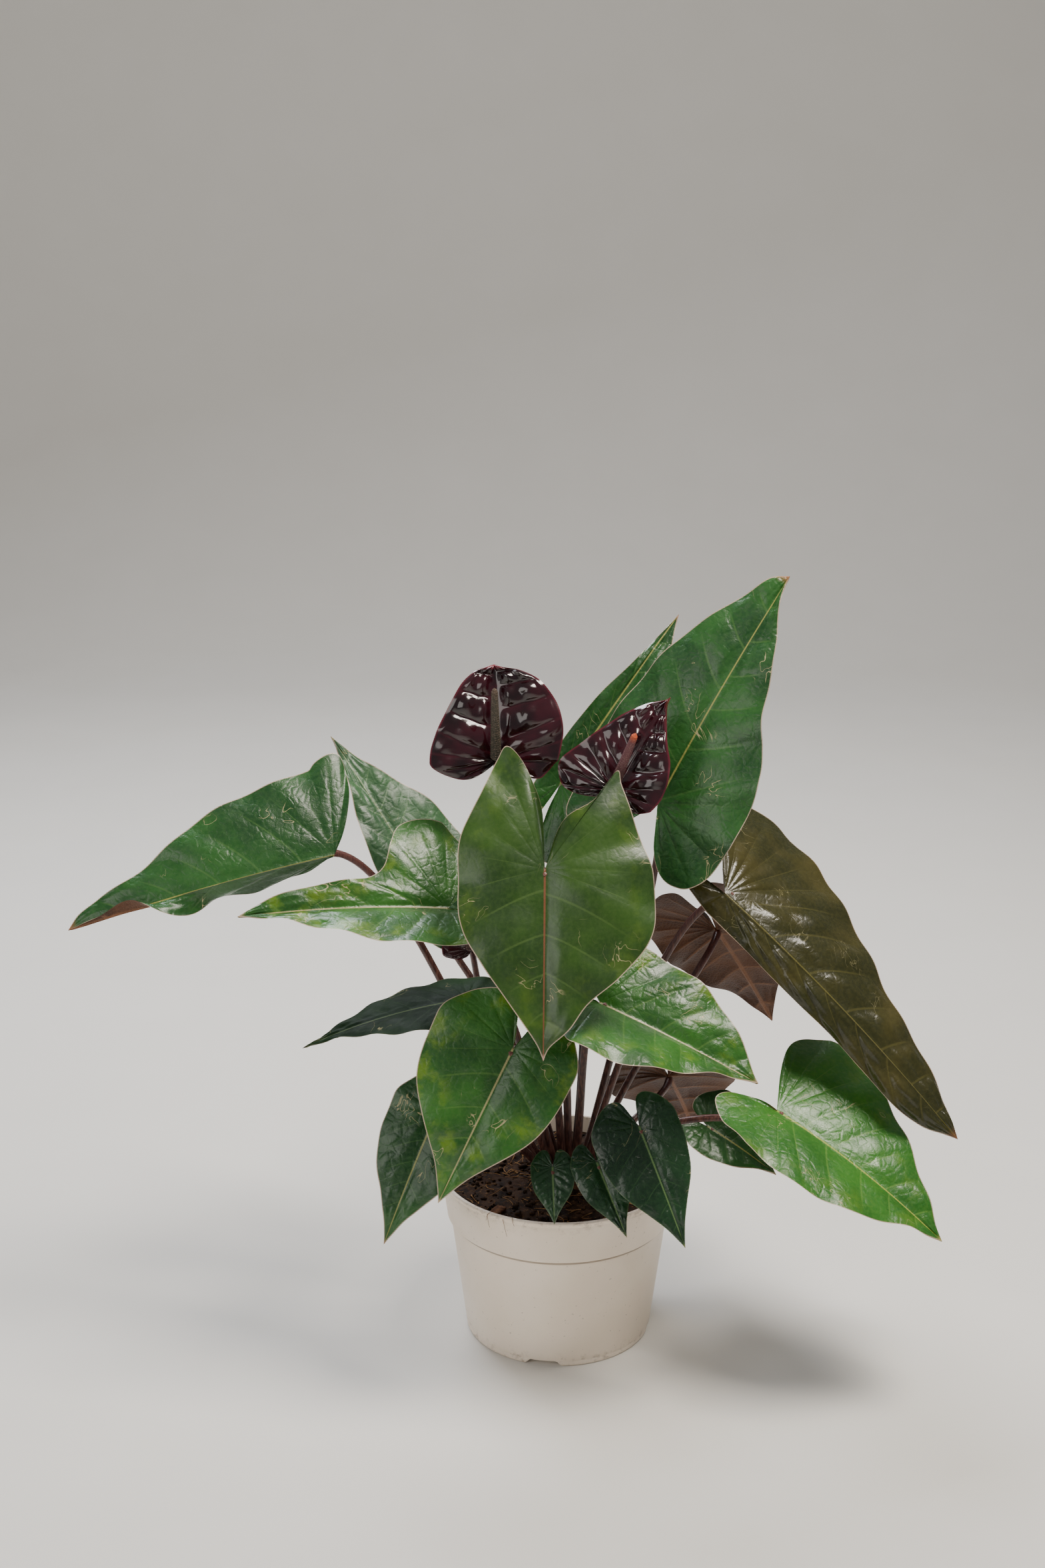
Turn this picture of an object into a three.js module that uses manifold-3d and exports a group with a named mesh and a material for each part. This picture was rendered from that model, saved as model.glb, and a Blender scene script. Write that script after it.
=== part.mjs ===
import * as THREE from 'three';
import { mergeVertices } from 'three/addons/utils/BufferGeometryUtils.js';
import Module from 'manifold-3d';

const wasm = await Module();
wasm.setup();
const { Manifold, Mesh } = wasm;

// ---- Driving dimensions, millimetres and degrees. Origin: pot axis on the table, +Z up. ----
const POT_HEIGHT = 106;
const RIM_RADIUS = 74;
const COLLAR_HEIGHT = 29;
const COLLAR_TAPER = 4.5;
const STEP_IN = 2;
const BASE_RADIUS = 58;
const WALL = 1.8;
const FLOOR_THICKNESS = 2.2;
const NOTCH_COUNT = 4;
const NOTCH_WIDTH = 24;
const NOTCH_HEIGHT = 4;
const NOTCH_REACH = 6;
const NOTCH_SLOPE = 4;
const NOTCH_ANGLE = 260;
const SOIL_DROP = 11; // rim to soil
const SOIL_MOUND = 2.5;
const CROWN_RADIUS = 23;
const CROWN_HALF_HEIGHT = 14;
const CROWN_X = 6;
const CROWN_SINK = 3; // middle of the crown below the soil's edge
const GAP = 0.35;
const CHIP_CLEARANCE = 0.15;
const BLADE_THICKNESS = 1;
const SPATHE_THICKNESS = 1;
const PETIOLE_RADIUS = 2.1;
const PEDUNCLE_RADIUS = 2;
const SPADIX_RADIUS = 3.2;
const SPADIX_TAPER = 0.55;
const POT_SEGMENTS = 48;
const TUBE_SIDES = 7;
const TUBE_STEPS = 9;

const SOIL_LEVEL = POT_HEIGHT - SOIL_DROP;
const CROWN_Z = SOIL_LEVEL - CROWN_SINK;

const rad = THREE.MathUtils.degToRad;
const vec = (a) => new THREE.Vector3(a[0], a[1], a[2]);
const abovePeat = (a) => new THREE.Vector3(a[0], a[1], a[2] + SOIL_LEVEL);

// ---- Half outlines: first number runs along the midrib (1 = tip, -1 = end of a lobe),
// second across it (1 = widest). ----
const LEAF_OUTLINE = [
  [1, 0], [0.94, 0.06], [0.8, 0.23], [0.66, 0.46], [0.46, 0.8], [0.3, 0.94], [0.1, 1],
  [-0.2, 0.98], [-0.5, 0.86], [-0.8, 0.68], [-1, 0.42], [-0.9, 0.2], [-0.45, 0.08], [0, 0],
];
const SPATHE_OUTLINE = [
  [1, 0], [0.93, 0.07], [0.84, 0.28], [0.7, 0.55], [0.5, 0.8], [0.3, 0.93], [0.1, 1],
  [-0.3, 0.97], [-0.65, 0.82], [-0.95, 0.56], [-1, 0.36], [-0.8, 0.16], [-0.35, 0.06], [0, 0],
];

// Halves that differ from the common outline.
const OWN_EDGES = {
  A: [
    [1, 0], [0.95, 0.12], [0.86, 0.22], [0.73, 0.32], [0.57, 0.52], [0.41, 0.72], [0.24, 0.82],
    [0.04, 0.9], [-0.25, 0.98], [-0.8, 1.02], [-1, 0.92], [-0.9, 0.6], [-0.5, 0.25], [0, 0],
  ],
  Anear: [
    [1, 0], [0.9, 0.12], [0.78, 0.28], [0.66, 0.42], [0.54, 0.54], [0.43, 0.64], [0.33, 0.7],
    [0.24, 0.7], [0.16, 0.6], [0.1, 0.42], [0.06, 0.26], [0.03, 0.14], [0.01, 0.05], [0, 0],
  ],
  C: [
    [1, 0], [0.92, 0.1], [0.82, 0.2], [0.66, 0.29], [0.5, 0.34], [0.38, 0.38], [0.3, 0.52],
    [0.26, 0.82], [0.2, 1.08], [0.06, 1.14], [-0.2, 1.02], [-0.6, 0.7], [-0.45, 0.25], [0, 0],
  ],
  Dleft: [
    [1, 0], [0.93, 0.05], [0.84, 0.16], [0.67, 0.39], [0.5, 0.62], [0.33, 0.81], [0.1, 0.87],
    [-0.3, 0.84], [-0.68, 0.64], [-0.98, 0.49], [-1.1, 0.38], [-0.88, 0.18], [-0.5, 0.05], [0, 0],
  ],
  Dright: [
    [1, 0], [0.93, 0.06], [0.83, 0.26], [0.7, 0.44], [0.56, 0.75], [0.4, 1.02], [0.2, 1.12],
    [-0.05, 1.06], [-0.5, 0.87], [-0.76, 0.77], [-0.89, 0.72], [-0.62, 0.5], [-0.42, 0.2], [0, 0],
  ],
  Eleft: [
    [1, 0], [0.96, 0.17], [0.88, 0.29], [0.8, 0.43], [0.7, 0.58], [0.6, 0.73], [0.46, 0.85],
    [0.28, 0.96], [0.08, 1.02], [-0.3, 1], [-0.8, 0.9], [-0.85, 0.58], [-0.45, 0.22], [0, 0],
  ],
  Eright: [
    [1, 0], [0.92, 0.05], [0.83, 0.16], [0.74, 0.3], [0.62, 0.45], [0.48, 0.59], [0.38, 0.76],
    [0.28, 0.9], [0.12, 0.99], [-0.25, 0.97], [-0.64, 0.9], [-0.88, 0.7], [-0.8, 0.38], [0, 0],
  ],
  Gfar: [
    [1, 0], [0.93, 0.13], [0.83, 0.29], [0.72, 0.42], [0.6, 0.55], [0.48, 0.74], [0.36, 0.98],
    [0.22, 1.19], [0.05, 1.36], [-0.4, 1.38], [-0.85, 1.3], [-1.03, 0.95], [-0.6, 0.42], [0, 0],
  ],
  Gnear: [
    [1, 0], [0.96, 0.25], [0.9, 0.62], [0.8, 0.84], [0.66, 0.86], [0.5, 0.84], [0.34, 0.9],
    [0.16, 0.86], [-0.1, 0.8], [-0.55, 0.62], [-1.1, 0.4], [-0.95, 0.2], [-0.45, 0.08], [0, 0],
  ],
  Iupper: [
    [1, 0], [0.95, 0.1], [0.86, 0.32], [0.75, 0.53], [0.61, 0.73], [0.48, 0.88], [0.36, 0.94],
    [0.24, 0.97], [0.1, 1], [-0.2, 0.98], [-0.5, 0.86], [-0.9, 0.45], [-0.5, 0.15], [0, 0],
  ],
  Jfar: [
    [1, 0], [0.93, 0.11], [0.84, 0.28], [0.74, 0.46], [0.62, 0.7], [0.5, 0.92], [0.38, 1.12],
    [0.26, 1.26], [0.12, 1.38], [-0.1, 1.42], [-0.45, 1.24], [-0.55, 0.88], [-0.32, 0.42], [0, 0],
  ],
  Jnear: [
    [1, 0], [0.93, 0.11], [0.82, 0.26], [0.71, 0.46], [0.6, 0.67], [0.5, 0.78], [0.38, 0.88],
    [0.24, 0.91], [0.08, 0.86], [-0.25, 0.76], [-0.6, 0.66], [-0.92, 0.42], [-0.7, 0.15], [0, 0],
  ],
  S1left: [
    [1, 0], [0.98, 0.1], [0.93, 0.28], [0.82, 0.46], [0.66, 0.6], [0.5, 0.72], [0.29, 0.86],
    [0.04, 0.95], [-0.3, 0.9], [-0.68, 0.72], [-0.9, 0.49], [-0.77, 0.28], [-0.35, 0.1], [0, 0],
  ],
  S1right: [
    [1, 0], [0.97, 0.12], [0.93, 0.38], [0.83, 0.64], [0.65, 0.84], [0.5, 0.93], [0.31, 0.97],
    [0.12, 0.93], [-0.14, 0.84], [-0.63, 0.72], [-0.9, 0.6], [-0.75, 0.32], [-0.35, 0.1], [0, 0],
  ],
  S2left: [
    [1, 0], [0.95, 0.06], [0.82, 0.31], [0.66, 0.51], [0.51, 0.66], [0.28, 0.85], [0.1, 1],
    [-0.05, 1.06], [-0.4, 1.02], [-0.8, 0.83], [-0.84, 0.58], [-0.68, 0.32], [-0.42, 0.12], [0, 0],
  ],
  S2right: [
    [1, 0], [0.92, 0.03], [0.75, 0.22], [0.58, 0.47], [0.46, 0.65], [0.3, 0.79], [0.11, 0.82],
    [-0.07, 0.75], [-0.3, 0.6], [-0.37, 0.45], [-0.33, 0.3], [-0.2, 0.15], [-0.08, 0.06], [0, 0],
  ],
};

// ---- Leaves. Heights are above the soil's edge. at = where the petiole meets the blade,
// tip = point of the blade, face = way the upper side looks, lobe = lobe length over blade length,
// bend = droop along the midrib, left/right = fold of each half (up is +), slim = narrowing of each
// half, shift = sideways step of the petiole's end, own = edges that differ, curl = roll of the
// margins, twist = turn of the tip, root = [azimuth, share of the crown's radius] of the petiole's
// foot, rise/reach = pull of its curve, lean = its slope where it meets the blade. ----
const LEAVES = [
  { name: 'A', at: [-134, -5, 217], tip: [-289, -30, 179], face: [0, -0.85, 0.55], width: 124,
    lobe: 0.13, bend: 24, left: 4, right: -72, slim: [1, 0.4], shift: -3, curl: 16, twist: 10,
    root: [180, 0.7], rise: 0.35, reach: 0.2, lean: 70, own: ['A', 'Anear'] },
  { name: 'B', at: [-80, 40, 177], tip: [-142, 80, 266], face: [0.25, -0.75, 0.6], width: 78,
    lobe: 0.3, bend: 12, left: 2, right: 8, curl: 10, twist: 0, root: [138, 0.41], rise: 0.5,
    reach: 0.3, slim: [1, 0.6] },
  { name: 'C', at: [-66, -30, 193], tip: [-186, -55, 197], face: [0, -0.65, 0.76], width: 98,
    lobe: 0.2, bend: 20, left: 14, right: 30, curl: 12, twist: 0, root: [215, 0.41], rise: 0.5,
    reach: 0.25, lean: 55, own: ['C', null], slim: [1, 0.75] },
  { name: 'D', at: [-10, -66, 230], tip: [-11, -106, 130], face: [0, -1, 0.3], width: 114,
    lobe: 0.6, bend: 16, left: 12, right: 12, curl: 26, twist: 0, root: [265, 0.15], rise: 0.5,
    reach: 0.25, own: ['Dleft', 'Dright'] },
  { name: 'E', at: [57, 2, 247], tip: [135, 38, 376], face: [-0.3, -0.8, 0.5], width: 106,
    lobe: 0.27, bend: 14, left: 6, right: 6, curl: 16, twist: 0, root: [25, 0.41], rise: 0.5,
    reach: 0.25, own: ['Eright', 'Eleft'] },
  { name: 'F', at: [1, 58, 242], tip: [75, 105, 338], face: [0, -0.8, 0.55], width: 96,
    lobe: 0.35, bend: 14, left: 6, right: 20, slim: [1, 0.3], curl: 14, twist: 0,
    root: [90, 0.41], rise: 0.5, reach: 0.25 },
  { name: 'G', at: [98, -5, 193], tip: [234, -60, 59], face: [0.3, -0.6, 0.74], width: 110,
    lobe: 0.185, bend: 14, left: -35, right: 4, slim: [0.35, 1], shift: 4, curl: 18, twist: 0,
    root: [345, 0.41], rise: 0.5, reach: 0.25, own: ['Gnear', 'Gfar'] },
  { name: 'H', at: [98, 48, 151], tip: [141, 92, 69], face: [0, 0.8, 0.55], width: 84, lobe: 0.5,
    bend: 14, left: 8, right: 8, curl: 14, twist: 0, root: [40, 0.7], rise: 0.5, reach: 0.25 },
  { name: 'I', at: [22, -62, 147], tip: [112, -88, 108], face: [0.1, -0.75, 0.65], width: 86,
    lobe: 0.15, bend: 14, left: 40, right: 4, curl: 14, twist: 0, root: [290, 0.41], rise: 0.5,
    reach: 0.25, own: [null, 'Iupper'] },
  { name: 'J', at: [128, -50, 73], tip: [221, -95, 11], face: [0.25, -0.6, 0.75], width: 96,
    lobe: 0.28, bend: 24, left: 20, right: 4, curl: 12, twist: 0, root: [328, 0.7], rise: 0.6,
    reach: 0.25, own: ['Jnear', 'Jfar'] },
  { name: 'K', at: [92, 0, 38], tip: [134, -12, 11], face: [0.1, -0.6, 0.8], width: 56,
    lobe: 0.3, bend: 16, left: 10, right: 10, curl: 12, twist: 0, root: [350, 0.7], rise: 0.5,
    reach: 0.25, slim: [0.7, 1] },
  { name: 'L', at: [70, 48, 51], tip: [90, 85, -4], face: [0, 0.8, 0.6], width: 84, lobe: 0.4,
    bend: 20, left: 6, right: 6, curl: 12, twist: 0, root: [14, 0.7], rise: 0.5, reach: 0.25 },
  { name: 'M', at: [-28, -82, 127], tip: [-71, -105, 41], face: [0, -0.9, 0.45], width: 96,
    lobe: 0.28, bend: 20, left: 8, right: 8, curl: 14, twist: 0, root: [241, 0.7], rise: 0.6,
    reach: 0.25, slim: [1, 0.82] },
  { name: 'N', at: [-55, -45, 142], tip: [-151, -57, 116], face: [0, -0.1, 1], width: 56,
    lobe: 0.25, bend: 20, left: 6, right: 6, curl: 14, twist: 0, root: [199, 0.7], rise: 0.5,
    reach: 0.25 },
  { name: 'O', at: [-73, -60, 76], tip: [-104, -84, 3], face: [-0.2, -0.9, 0.4], width: 56,
    lobe: 0.25, bend: 20, left: 8, right: 8, curl: 14, twist: 0, root: [218, 0.7], rise: 0.5,
    reach: 0.25 },
  { name: 'P', at: [45, -78, 76], tip: [71, -108, 14], face: [0, -0.9, 0.45], width: 58,
    lobe: 0.25, bend: 20, left: 8, right: 8, curl: 14, twist: 0, root: [307, 0.7], rise: 0.5,
    reach: 0.25, slim: [1, 0.8] },
  { name: 'Q', at: [21, -72, 50], tip: [38, -94, 13], face: [0, -0.9, 0.45], width: 32,
    lobe: 0.3, bend: 16, left: 8, right: 8, curl: 10, twist: 0, root: [286, 0.7], rise: 0.4,
    reach: 0.25 },
  { name: 'R', at: [-5, -72, 47], tip: [-4, -88, 18], face: [0, -0.9, 0.45], width: 26,
    lobe: 0.3, bend: 16, left: 8, right: 8, curl: 10, twist: 0, root: [264, 0.7], rise: 0.4,
    reach: 0.25 },
  { name: 'S', at: [-6, -52, 127], tip: [-22, -60, 117], face: [0, -0.9, 0.45], width: 20,
    lobe: 0.3, bend: 10, left: 8, right: 8, curl: 10, twist: 0, root: [250, 0.41], rise: 0.5,
    reach: 0.25 },
];

// ---- Flowers: spathe given like a blade; spadix = [length, lean from the spathe's face]. ----
const FLOWERS = [
  { name: '1', at: [-38, -5, 275], tip: [-39, 12, 329], face: [0, -0.9, 0.45], width: 82, lobe: 0.2,
    bend: 10, left: 10, right: 10, curl: 10, twist: 0, root: [150, 0.15], rise: 0.5, reach: 0.3,
    spadix: [44, 24], own: ['S1right', 'S1left'] },
  { name: '2', at: [30, -22, 263], tip: [63, -6, 314], face: [-0.2, -0.85, 0.5], width: 68,
    lobe: 0.25, bend: 10, left: 10, right: 10, curl: 12, twist: 0, root: [20, 0.15], rise: 0.5,
    reach: 0.3, spadix: [36, 28], lean: 62, own: ['S2right', 'S2left'] },
  { name: '3', at: [-54, 24, 146], tip: [-57, 26, 167], face: [0, -0.9, 0.1], width: 36,
    lobe: 0.25, bend: 10, left: 8, right: 8, curl: 10, twist: 0, root: [160, 0.7], rise: 0.5,
    reach: 0.3, spadix: [13, 8], lean: 60 },
];

// ---- Bark chips on the soil: azimuth, distance in from the pot's wall, size and turn. ----
const CHIPS = [
  { azimuth: -52, inset: 12.5, size: [12, 7, 3], turn: 35 },
  { azimuth: -22, inset: 11.5, size: [11, 8, 3], turn: -20 },
  { azimuth: -131, inset: 12.5, size: [12, 7, 3], turn: 60 },
];

const materials = {
  pot: new THREE.MeshStandardMaterial({ name: 'pot_plastic', color: 0xdedbd2, roughness: 0.6 }),
};
const paint = (name, color, roughness = 0.4) =>
  new THREE.MeshStandardMaterial({ name, color, roughness, side: THREE.DoubleSide });

const object = new THREE.Group();
object.name = 'potted_anthurium';
const add = (name, geometry, material) => {
  const mesh = new THREE.Mesh(geometry, material);
  mesh.name = name;
  object.add(mesh);
  return mesh;
};

// ---- Geometry helpers ----
// One closed skin: shared corners merged, and triangles that shrank to a line left out.
function closed(geometry) {
  geometry.deleteAttribute('normal');
  geometry.deleteAttribute('uv');
  const merged = mergeVertices(geometry, 1e-4);
  const old = merged.index.array;
  const index = [];
  for (let i = 0; i < old.length; i += 3) {
    const [a, b, c] = [old[i], old[i + 1], old[i + 2]];
    if (a !== b && b !== c && c !== a) index.push(a, b, c);
  }
  merged.setIndex(index);
  return merged;
}

function toManifold(geometry) {
  const skin = closed(geometry);
  return new Manifold(new Mesh({
    numProp: 3,
    vertProperties: new Float32Array(skin.attributes.position.array),
    triVerts: new Uint32Array(skin.index.array),
  }));
}

function fromManifold(body) {
  const mesh = body.getMesh();
  const geometry = new THREE.BufferGeometry();
  geometry.setAttribute('position', new THREE.BufferAttribute(mesh.vertProperties, 3));
  geometry.setIndex(new THREE.BufferAttribute(new Uint32Array(mesh.triVerts), 1));
  geometry.computeVertexNormals();
  return geometry;
}

// A turned body about +Z from [radius, height] pairs that start and end on the axis, listed from
// the bottom up round the outside.
function turned(profile, segments) {
  const line = profile.map(([r, z]) => new THREE.Vector2(r, z));
  return new THREE.LatheGeometry(line, segments).rotateX(Math.PI / 2);
}

// ---- Pot ----
const stepZ = POT_HEIGHT - COLLAR_HEIGHT;
const collarFoot = RIM_RADIUS - COLLAR_TAPER;
const neck = collarFoot - STEP_IN;
// The wedge-sided block that cuts a drain notch, reaching in from outside the foot.
function notchBlock() {
  const wide = NOTCH_WIDTH / 2;
  const slope = NOTCH_SLOPE / NOTCH_HEIGHT;
  const section = new THREE.Shape([
    new THREE.Vector2(-wide - slope, -1), new THREE.Vector2(wide + slope, -1),
    new THREE.Vector2(wide - NOTCH_SLOPE, NOTCH_HEIGHT), new THREE.Vector2(NOTCH_SLOPE - wide, NOTCH_HEIGHT),
  ]);
  const block = new THREE.ExtrudeGeometry(section, { depth: NOTCH_REACH * 3, bevelEnabled: false });
  const lie = new THREE.Matrix4().makeBasis(vec([0, 1, 0]), vec([0, 0, 1]), vec([1, 0, 0]));
  return block.applyMatrix4(lie).translate(BASE_RADIUS - NOTCH_REACH, 0, 0);
}

function buildPot() {
  let body = toManifold(turned([
    [0, 0], [BASE_RADIUS - 1, 0], [BASE_RADIUS, 1], [neck, stepZ - 0.5],
    [collarFoot, stepZ + 0.5], [RIM_RADIUS - 1, POT_HEIGHT - 4], [RIM_RADIUS, POT_HEIGHT - 3],
    [RIM_RADIUS, POT_HEIGHT - 0.5], [RIM_RADIUS - 0.5, POT_HEIGHT],
    [RIM_RADIUS - WALL - 0.6, POT_HEIGHT], [RIM_RADIUS - WALL - 1, POT_HEIGHT - 1],
    [collarFoot - WALL, stepZ + 1.5], [neck - WALL, stepZ + 0.2],
    [BASE_RADIUS - WALL, FLOOR_THICKNESS], [0, FLOOR_THICKNESS],
  ], POT_SEGMENTS));
  for (let i = 0; i < NOTCH_COUNT; i += 1) {
    const angle = rad(NOTCH_ANGLE + (360 / NOTCH_COUNT) * i);
    body = body.subtract(toManifold(notchBlock().rotateZ(angle)));
  }
  return fromManifold(body);
}
add('pot', buildPot(), materials.pot);

// ---- Crown: the lumpy foot the stems grow from ----
function crownPoint(azimuth, share) {
  const radius = share * CROWN_RADIUS;
  const z = CROWN_HALF_HEIGHT * Math.sqrt(1 - share * share);
  const x = radius * Math.cos(rad(azimuth));
  const y = radius * Math.sin(rad(azimuth));
  const normal = new THREE.Vector3(
    x / CROWN_RADIUS ** 2, y / CROWN_RADIUS ** 2, z / CROWN_HALF_HEIGHT ** 2,
  ).normalize();
  return { point: new THREE.Vector3(CROWN_X + x, y, CROWN_Z + z), normal };
}
function ellipsoid(grow) {
  const wide = CROWN_RADIUS + grow;
  return new THREE.SphereGeometry(1, 28, 12).rotateX(Math.PI / 2)
    .scale(wide, wide, CROWN_HALF_HEIGHT + grow).translate(CROWN_X, 0, CROWN_Z);
}
add('crown', closed(ellipsoid(0)), paint('crown_rhizome', 0x4a3626, 0.8));

// ---- Soil: fills the pot, mounded and uneven on top ----
function soilHeight(x, y) {
  const r = Math.hypot(x, y) / RIM_RADIUS;
  const lumps = Math.sin(0.21 * x + 1) * Math.cos(0.17 * y) + 0.6 * Math.sin(0.33 * y - 0.13 * x);
  return SOIL_LEVEL + SOIL_MOUND * (1 - r * r) + 0.5 * lumps;
}
function wallInside(z) {
  const foot = BASE_RADIUS - WALL;
  const top = neck - WALL;
  if (z < stepZ) return foot + ((top - foot) * (z - FLOOR_THICKNESS)) / (stepZ - FLOOR_THICKNESS);
  const run = (z - stepZ - 1.5) / (POT_HEIGHT - 1 - stepZ - 1.5);
  const c0 = collarFoot - WALL;
  return c0 + (RIM_RADIUS - WALL - 1 - c0) * run;
}
function buildSoil() {
  const low = FLOOR_THICKNESS + GAP;
  const inner = NOTCH_REACH + GAP + 1;
  const edge = wallInside(SOIL_LEVEL) - GAP;
  const body = closed(turned([
    [0, low], [BASE_RADIUS - inner, low], [BASE_RADIUS - inner, NOTCH_HEIGHT + 1],
    [wallInside(NOTCH_HEIGHT + 1) - GAP - 0.3, NOTCH_HEIGHT + 1.6], [neck - WALL - GAP - 0.2, stepZ - 1],
    [neck - WALL - GAP - 0.2, stepZ + 2.5], [edge - 0.5, SOIL_LEVEL],
    ...[0.93, 0.86, 0.79, 0.72, 0.63, 0.54, 0.42].map((share) => [edge * share, SOIL_LEVEL]),
    [0, SOIL_LEVEL],
  ], 48));
  const place = body.attributes.position;
  for (let i = 0; i < place.count; i += 1) {
    if (Math.abs(place.getZ(i) - SOIL_LEVEL) < 0.001) {
      place.setZ(i, soilHeight(place.getX(i), place.getY(i)));
    }
  }
  return fromManifold(toManifold(body).subtract(toManifold(ellipsoid(GAP))));
}
add('soil', buildSoil(), paint('peat_soil', 0x3b2a20, 0.95));

// ---- Blade surface ----
function smooth(outline, t) {
  const last = outline.length - 1;
  const s = Math.min(Math.max(t, 0), 1) * last;
  const i = Math.min(Math.floor(s), last - 1);
  const f = s - i;
  const at = (k) => outline[Math.min(Math.max(k, 0), last)];
  return [0, 1].map((k) => {
    const p0 = at(i - 1)[k];
    const p1 = at(i)[k];
    const p2 = at(i + 1)[k];
    const p3 = at(i + 2)[k];
    return 0.5 * (2 * p1 + (p2 - p0) * f + (2 * p0 - 5 * p1 + 4 * p2 - p3) * f * f
      + (3 * p1 - p0 - 3 * p2 + p3) * f * f * f);
  });
}

function bladeFrame(row) {
  const at = abovePeat(row.at);
  const chord = abovePeat(row.tip).sub(at);
  const length = chord.length();
  const along = chord.clone().normalize();
  const up = vec(row.face).addScaledVector(along, -vec(row.face).dot(along)).normalize();
  const side = new THREE.Vector3().crossVectors(up, along);
  const half = rad(row.bend) / 2;
  return {
    at, side, length: (length * half) / Math.sin(half), half,
    along: along.clone().multiplyScalar(Math.cos(half)).addScaledVector(up, Math.sin(half)),
    up: up.clone().multiplyScalar(Math.cos(half)).addScaledVector(along, -Math.sin(half)),
  };
}

// Point of the blade at u along the midrib and v across it, lifted off the middle surface.
function bladePoint(row, frame, u, v, lift) {
  const bend = 2 * frame.half;
  const a = (bend * u) / frame.length;
  const run = (frame.length / bend) * Math.sin(a);
  const drop = (-frame.length / bend) * (1 - Math.cos(a));
  const fold = rad(v > 0 ? row.right : row.left);
  const curl = rad(row.curl);
  const half = row.width / 2;
  const w = Math.abs(v);
  const angle = fold - (curl * w) / half;
  let y = (half / curl) * (Math.sin(fold) - Math.sin(angle)) * Math.sign(v);
  let z = (half / curl) * (Math.cos(angle) - Math.cos(fold));
  y += lift * -Math.sin(angle) * Math.sign(v);
  z += lift * (w === 0 ? 1 : Math.cos(angle));
  const turn = (rad(row.twist) * u) / frame.length;
  const ty = y * Math.cos(turn) - z * Math.sin(turn);
  const tz = y * Math.sin(turn) + z * Math.cos(turn);
  return frame.at.clone()
    .addScaledVector(frame.along, run + tz * Math.sin(a))
    .addScaledVector(frame.up, drop + tz * Math.cos(a))
    .addScaledVector(frame.side, ty);
}

function blade(row, outline, thickness, steps = 15, across = 2) {
  const frame = bladeFrame(row);
  const points = [];
  const triangles = [];
  const half = row.width / 2;
  const slim = row.slim ?? [1, 1];
  const place = (u, v, lift) => {
    const w = v * (v > 0 ? slim[1] : slim[0]);
    points.push(bladePoint(row, frame, u, w, lift).toArray());
    return points.length - 1;
  };
  // Rows of feet on the midrib, shared by both halves, then fans out to the outline.
  const spots = [];
  const own = (row.own ?? [null, null]).map((name) => (name ? OWN_EDGES[name] : outline));
  for (let i = 0; i <= steps; i += 1) {
    const halves = own.map((edge) => smooth(edge, i / steps));
    const u = halves.map(([a]) => (a > 0 ? a : a * row.lobe) * frame.length);
    const foot = Math.max(0, ((u[0] + u[1]) / 2 / frame.length - 0.1) / 0.9) * frame.length;
    spots.push({ u, v: halves.map(([, b]) => b * half), foot });
  }
  spots[0].foot = frame.length;
  const shells = [thickness / 2, -thickness / 2].map((lift) => {
    const feet = [];
    let lastFoot = null;
    for (const s of spots) {
      if (lastFoot !== null && Math.abs(s.foot - spots[feet.length - 1].foot) < 1e-6) feet.push(lastFoot);
      else { lastFoot = place(s.foot, 0, s === spots[0] ? 0 : lift); feet.push(lastFoot); }
    }
    return { lift, feet };
  });
  shells[1].feet[0] = shells[0].feet[0];
  for (const hand of [1, -1]) {
    const which = hand > 0 ? 1 : 0;
    const edge = spots.map((s, i) => {
      if (i === 0) return shells[0].feet[0];
      if (i === steps) return null;
      return place(s.u[which], s.v[which] * hand, 0);
    });
    for (const shell of shells) {
      const flip = (shell.lift > 0) !== (hand > 0);
      const rows = spots.map((s, i) => {
        const out = [shell.feet[i]];
        for (let k = 1; k < across; k += 1) {
          const f = k / across;
          out.push(i === 0 || i === steps ? shell.feet[i]
            : place(s.foot + (s.u[which] - s.foot) * f, s.v[which] * hand * f, shell.lift));
        }
        out.push(edge[i] === null ? shell.feet[i] : edge[i]);
        return out;
      });
      for (let i = 0; i < steps; i += 1) {
        for (let k = 0; k < across; k += 1) {
          const quad = [rows[i][k], rows[i + 1][k], rows[i + 1][k + 1], rows[i][k + 1]];
          for (const tri of [[quad[0], quad[1], quad[2]], [quad[0], quad[2], quad[3]]]) {
            if (new Set(tri).size === 3) triangles.push(flip ? tri : [tri[0], tri[2], tri[1]]);
          }
        }
      }
    }
  }
  // Close the small edge at the sinus, where the two halves meet.
  const top = shells[0].feet[steps];
  const bottom = shells[1].feet[steps];
  const count = new Map();
  for (const t of triangles) {
    for (let k = 0; k < 3; k += 1) count.set(`${t[k]}_${t[(k + 1) % 3]}`, [t[k], t[(k + 1) % 3]]);
  }
  for (const [a, b] of [...count.values()]) {
    if (count.has(`${b}_${a}`)) continue;
    if (a === top || a === bottom || b === top || b === bottom) {
      const other = a === top || b === top ? bottom : top;
      if (a === top || b === top) triangles.push([b, a, other]);
    }
  }
  const geometry = new THREE.BufferGeometry();
  geometry.setAttribute('position', new THREE.BufferAttribute(new Float32Array(points.flat()), 3));
  geometry.setIndex(triangles.flat());
  geometry.computeVertexNormals();
  return geometry;
}

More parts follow.
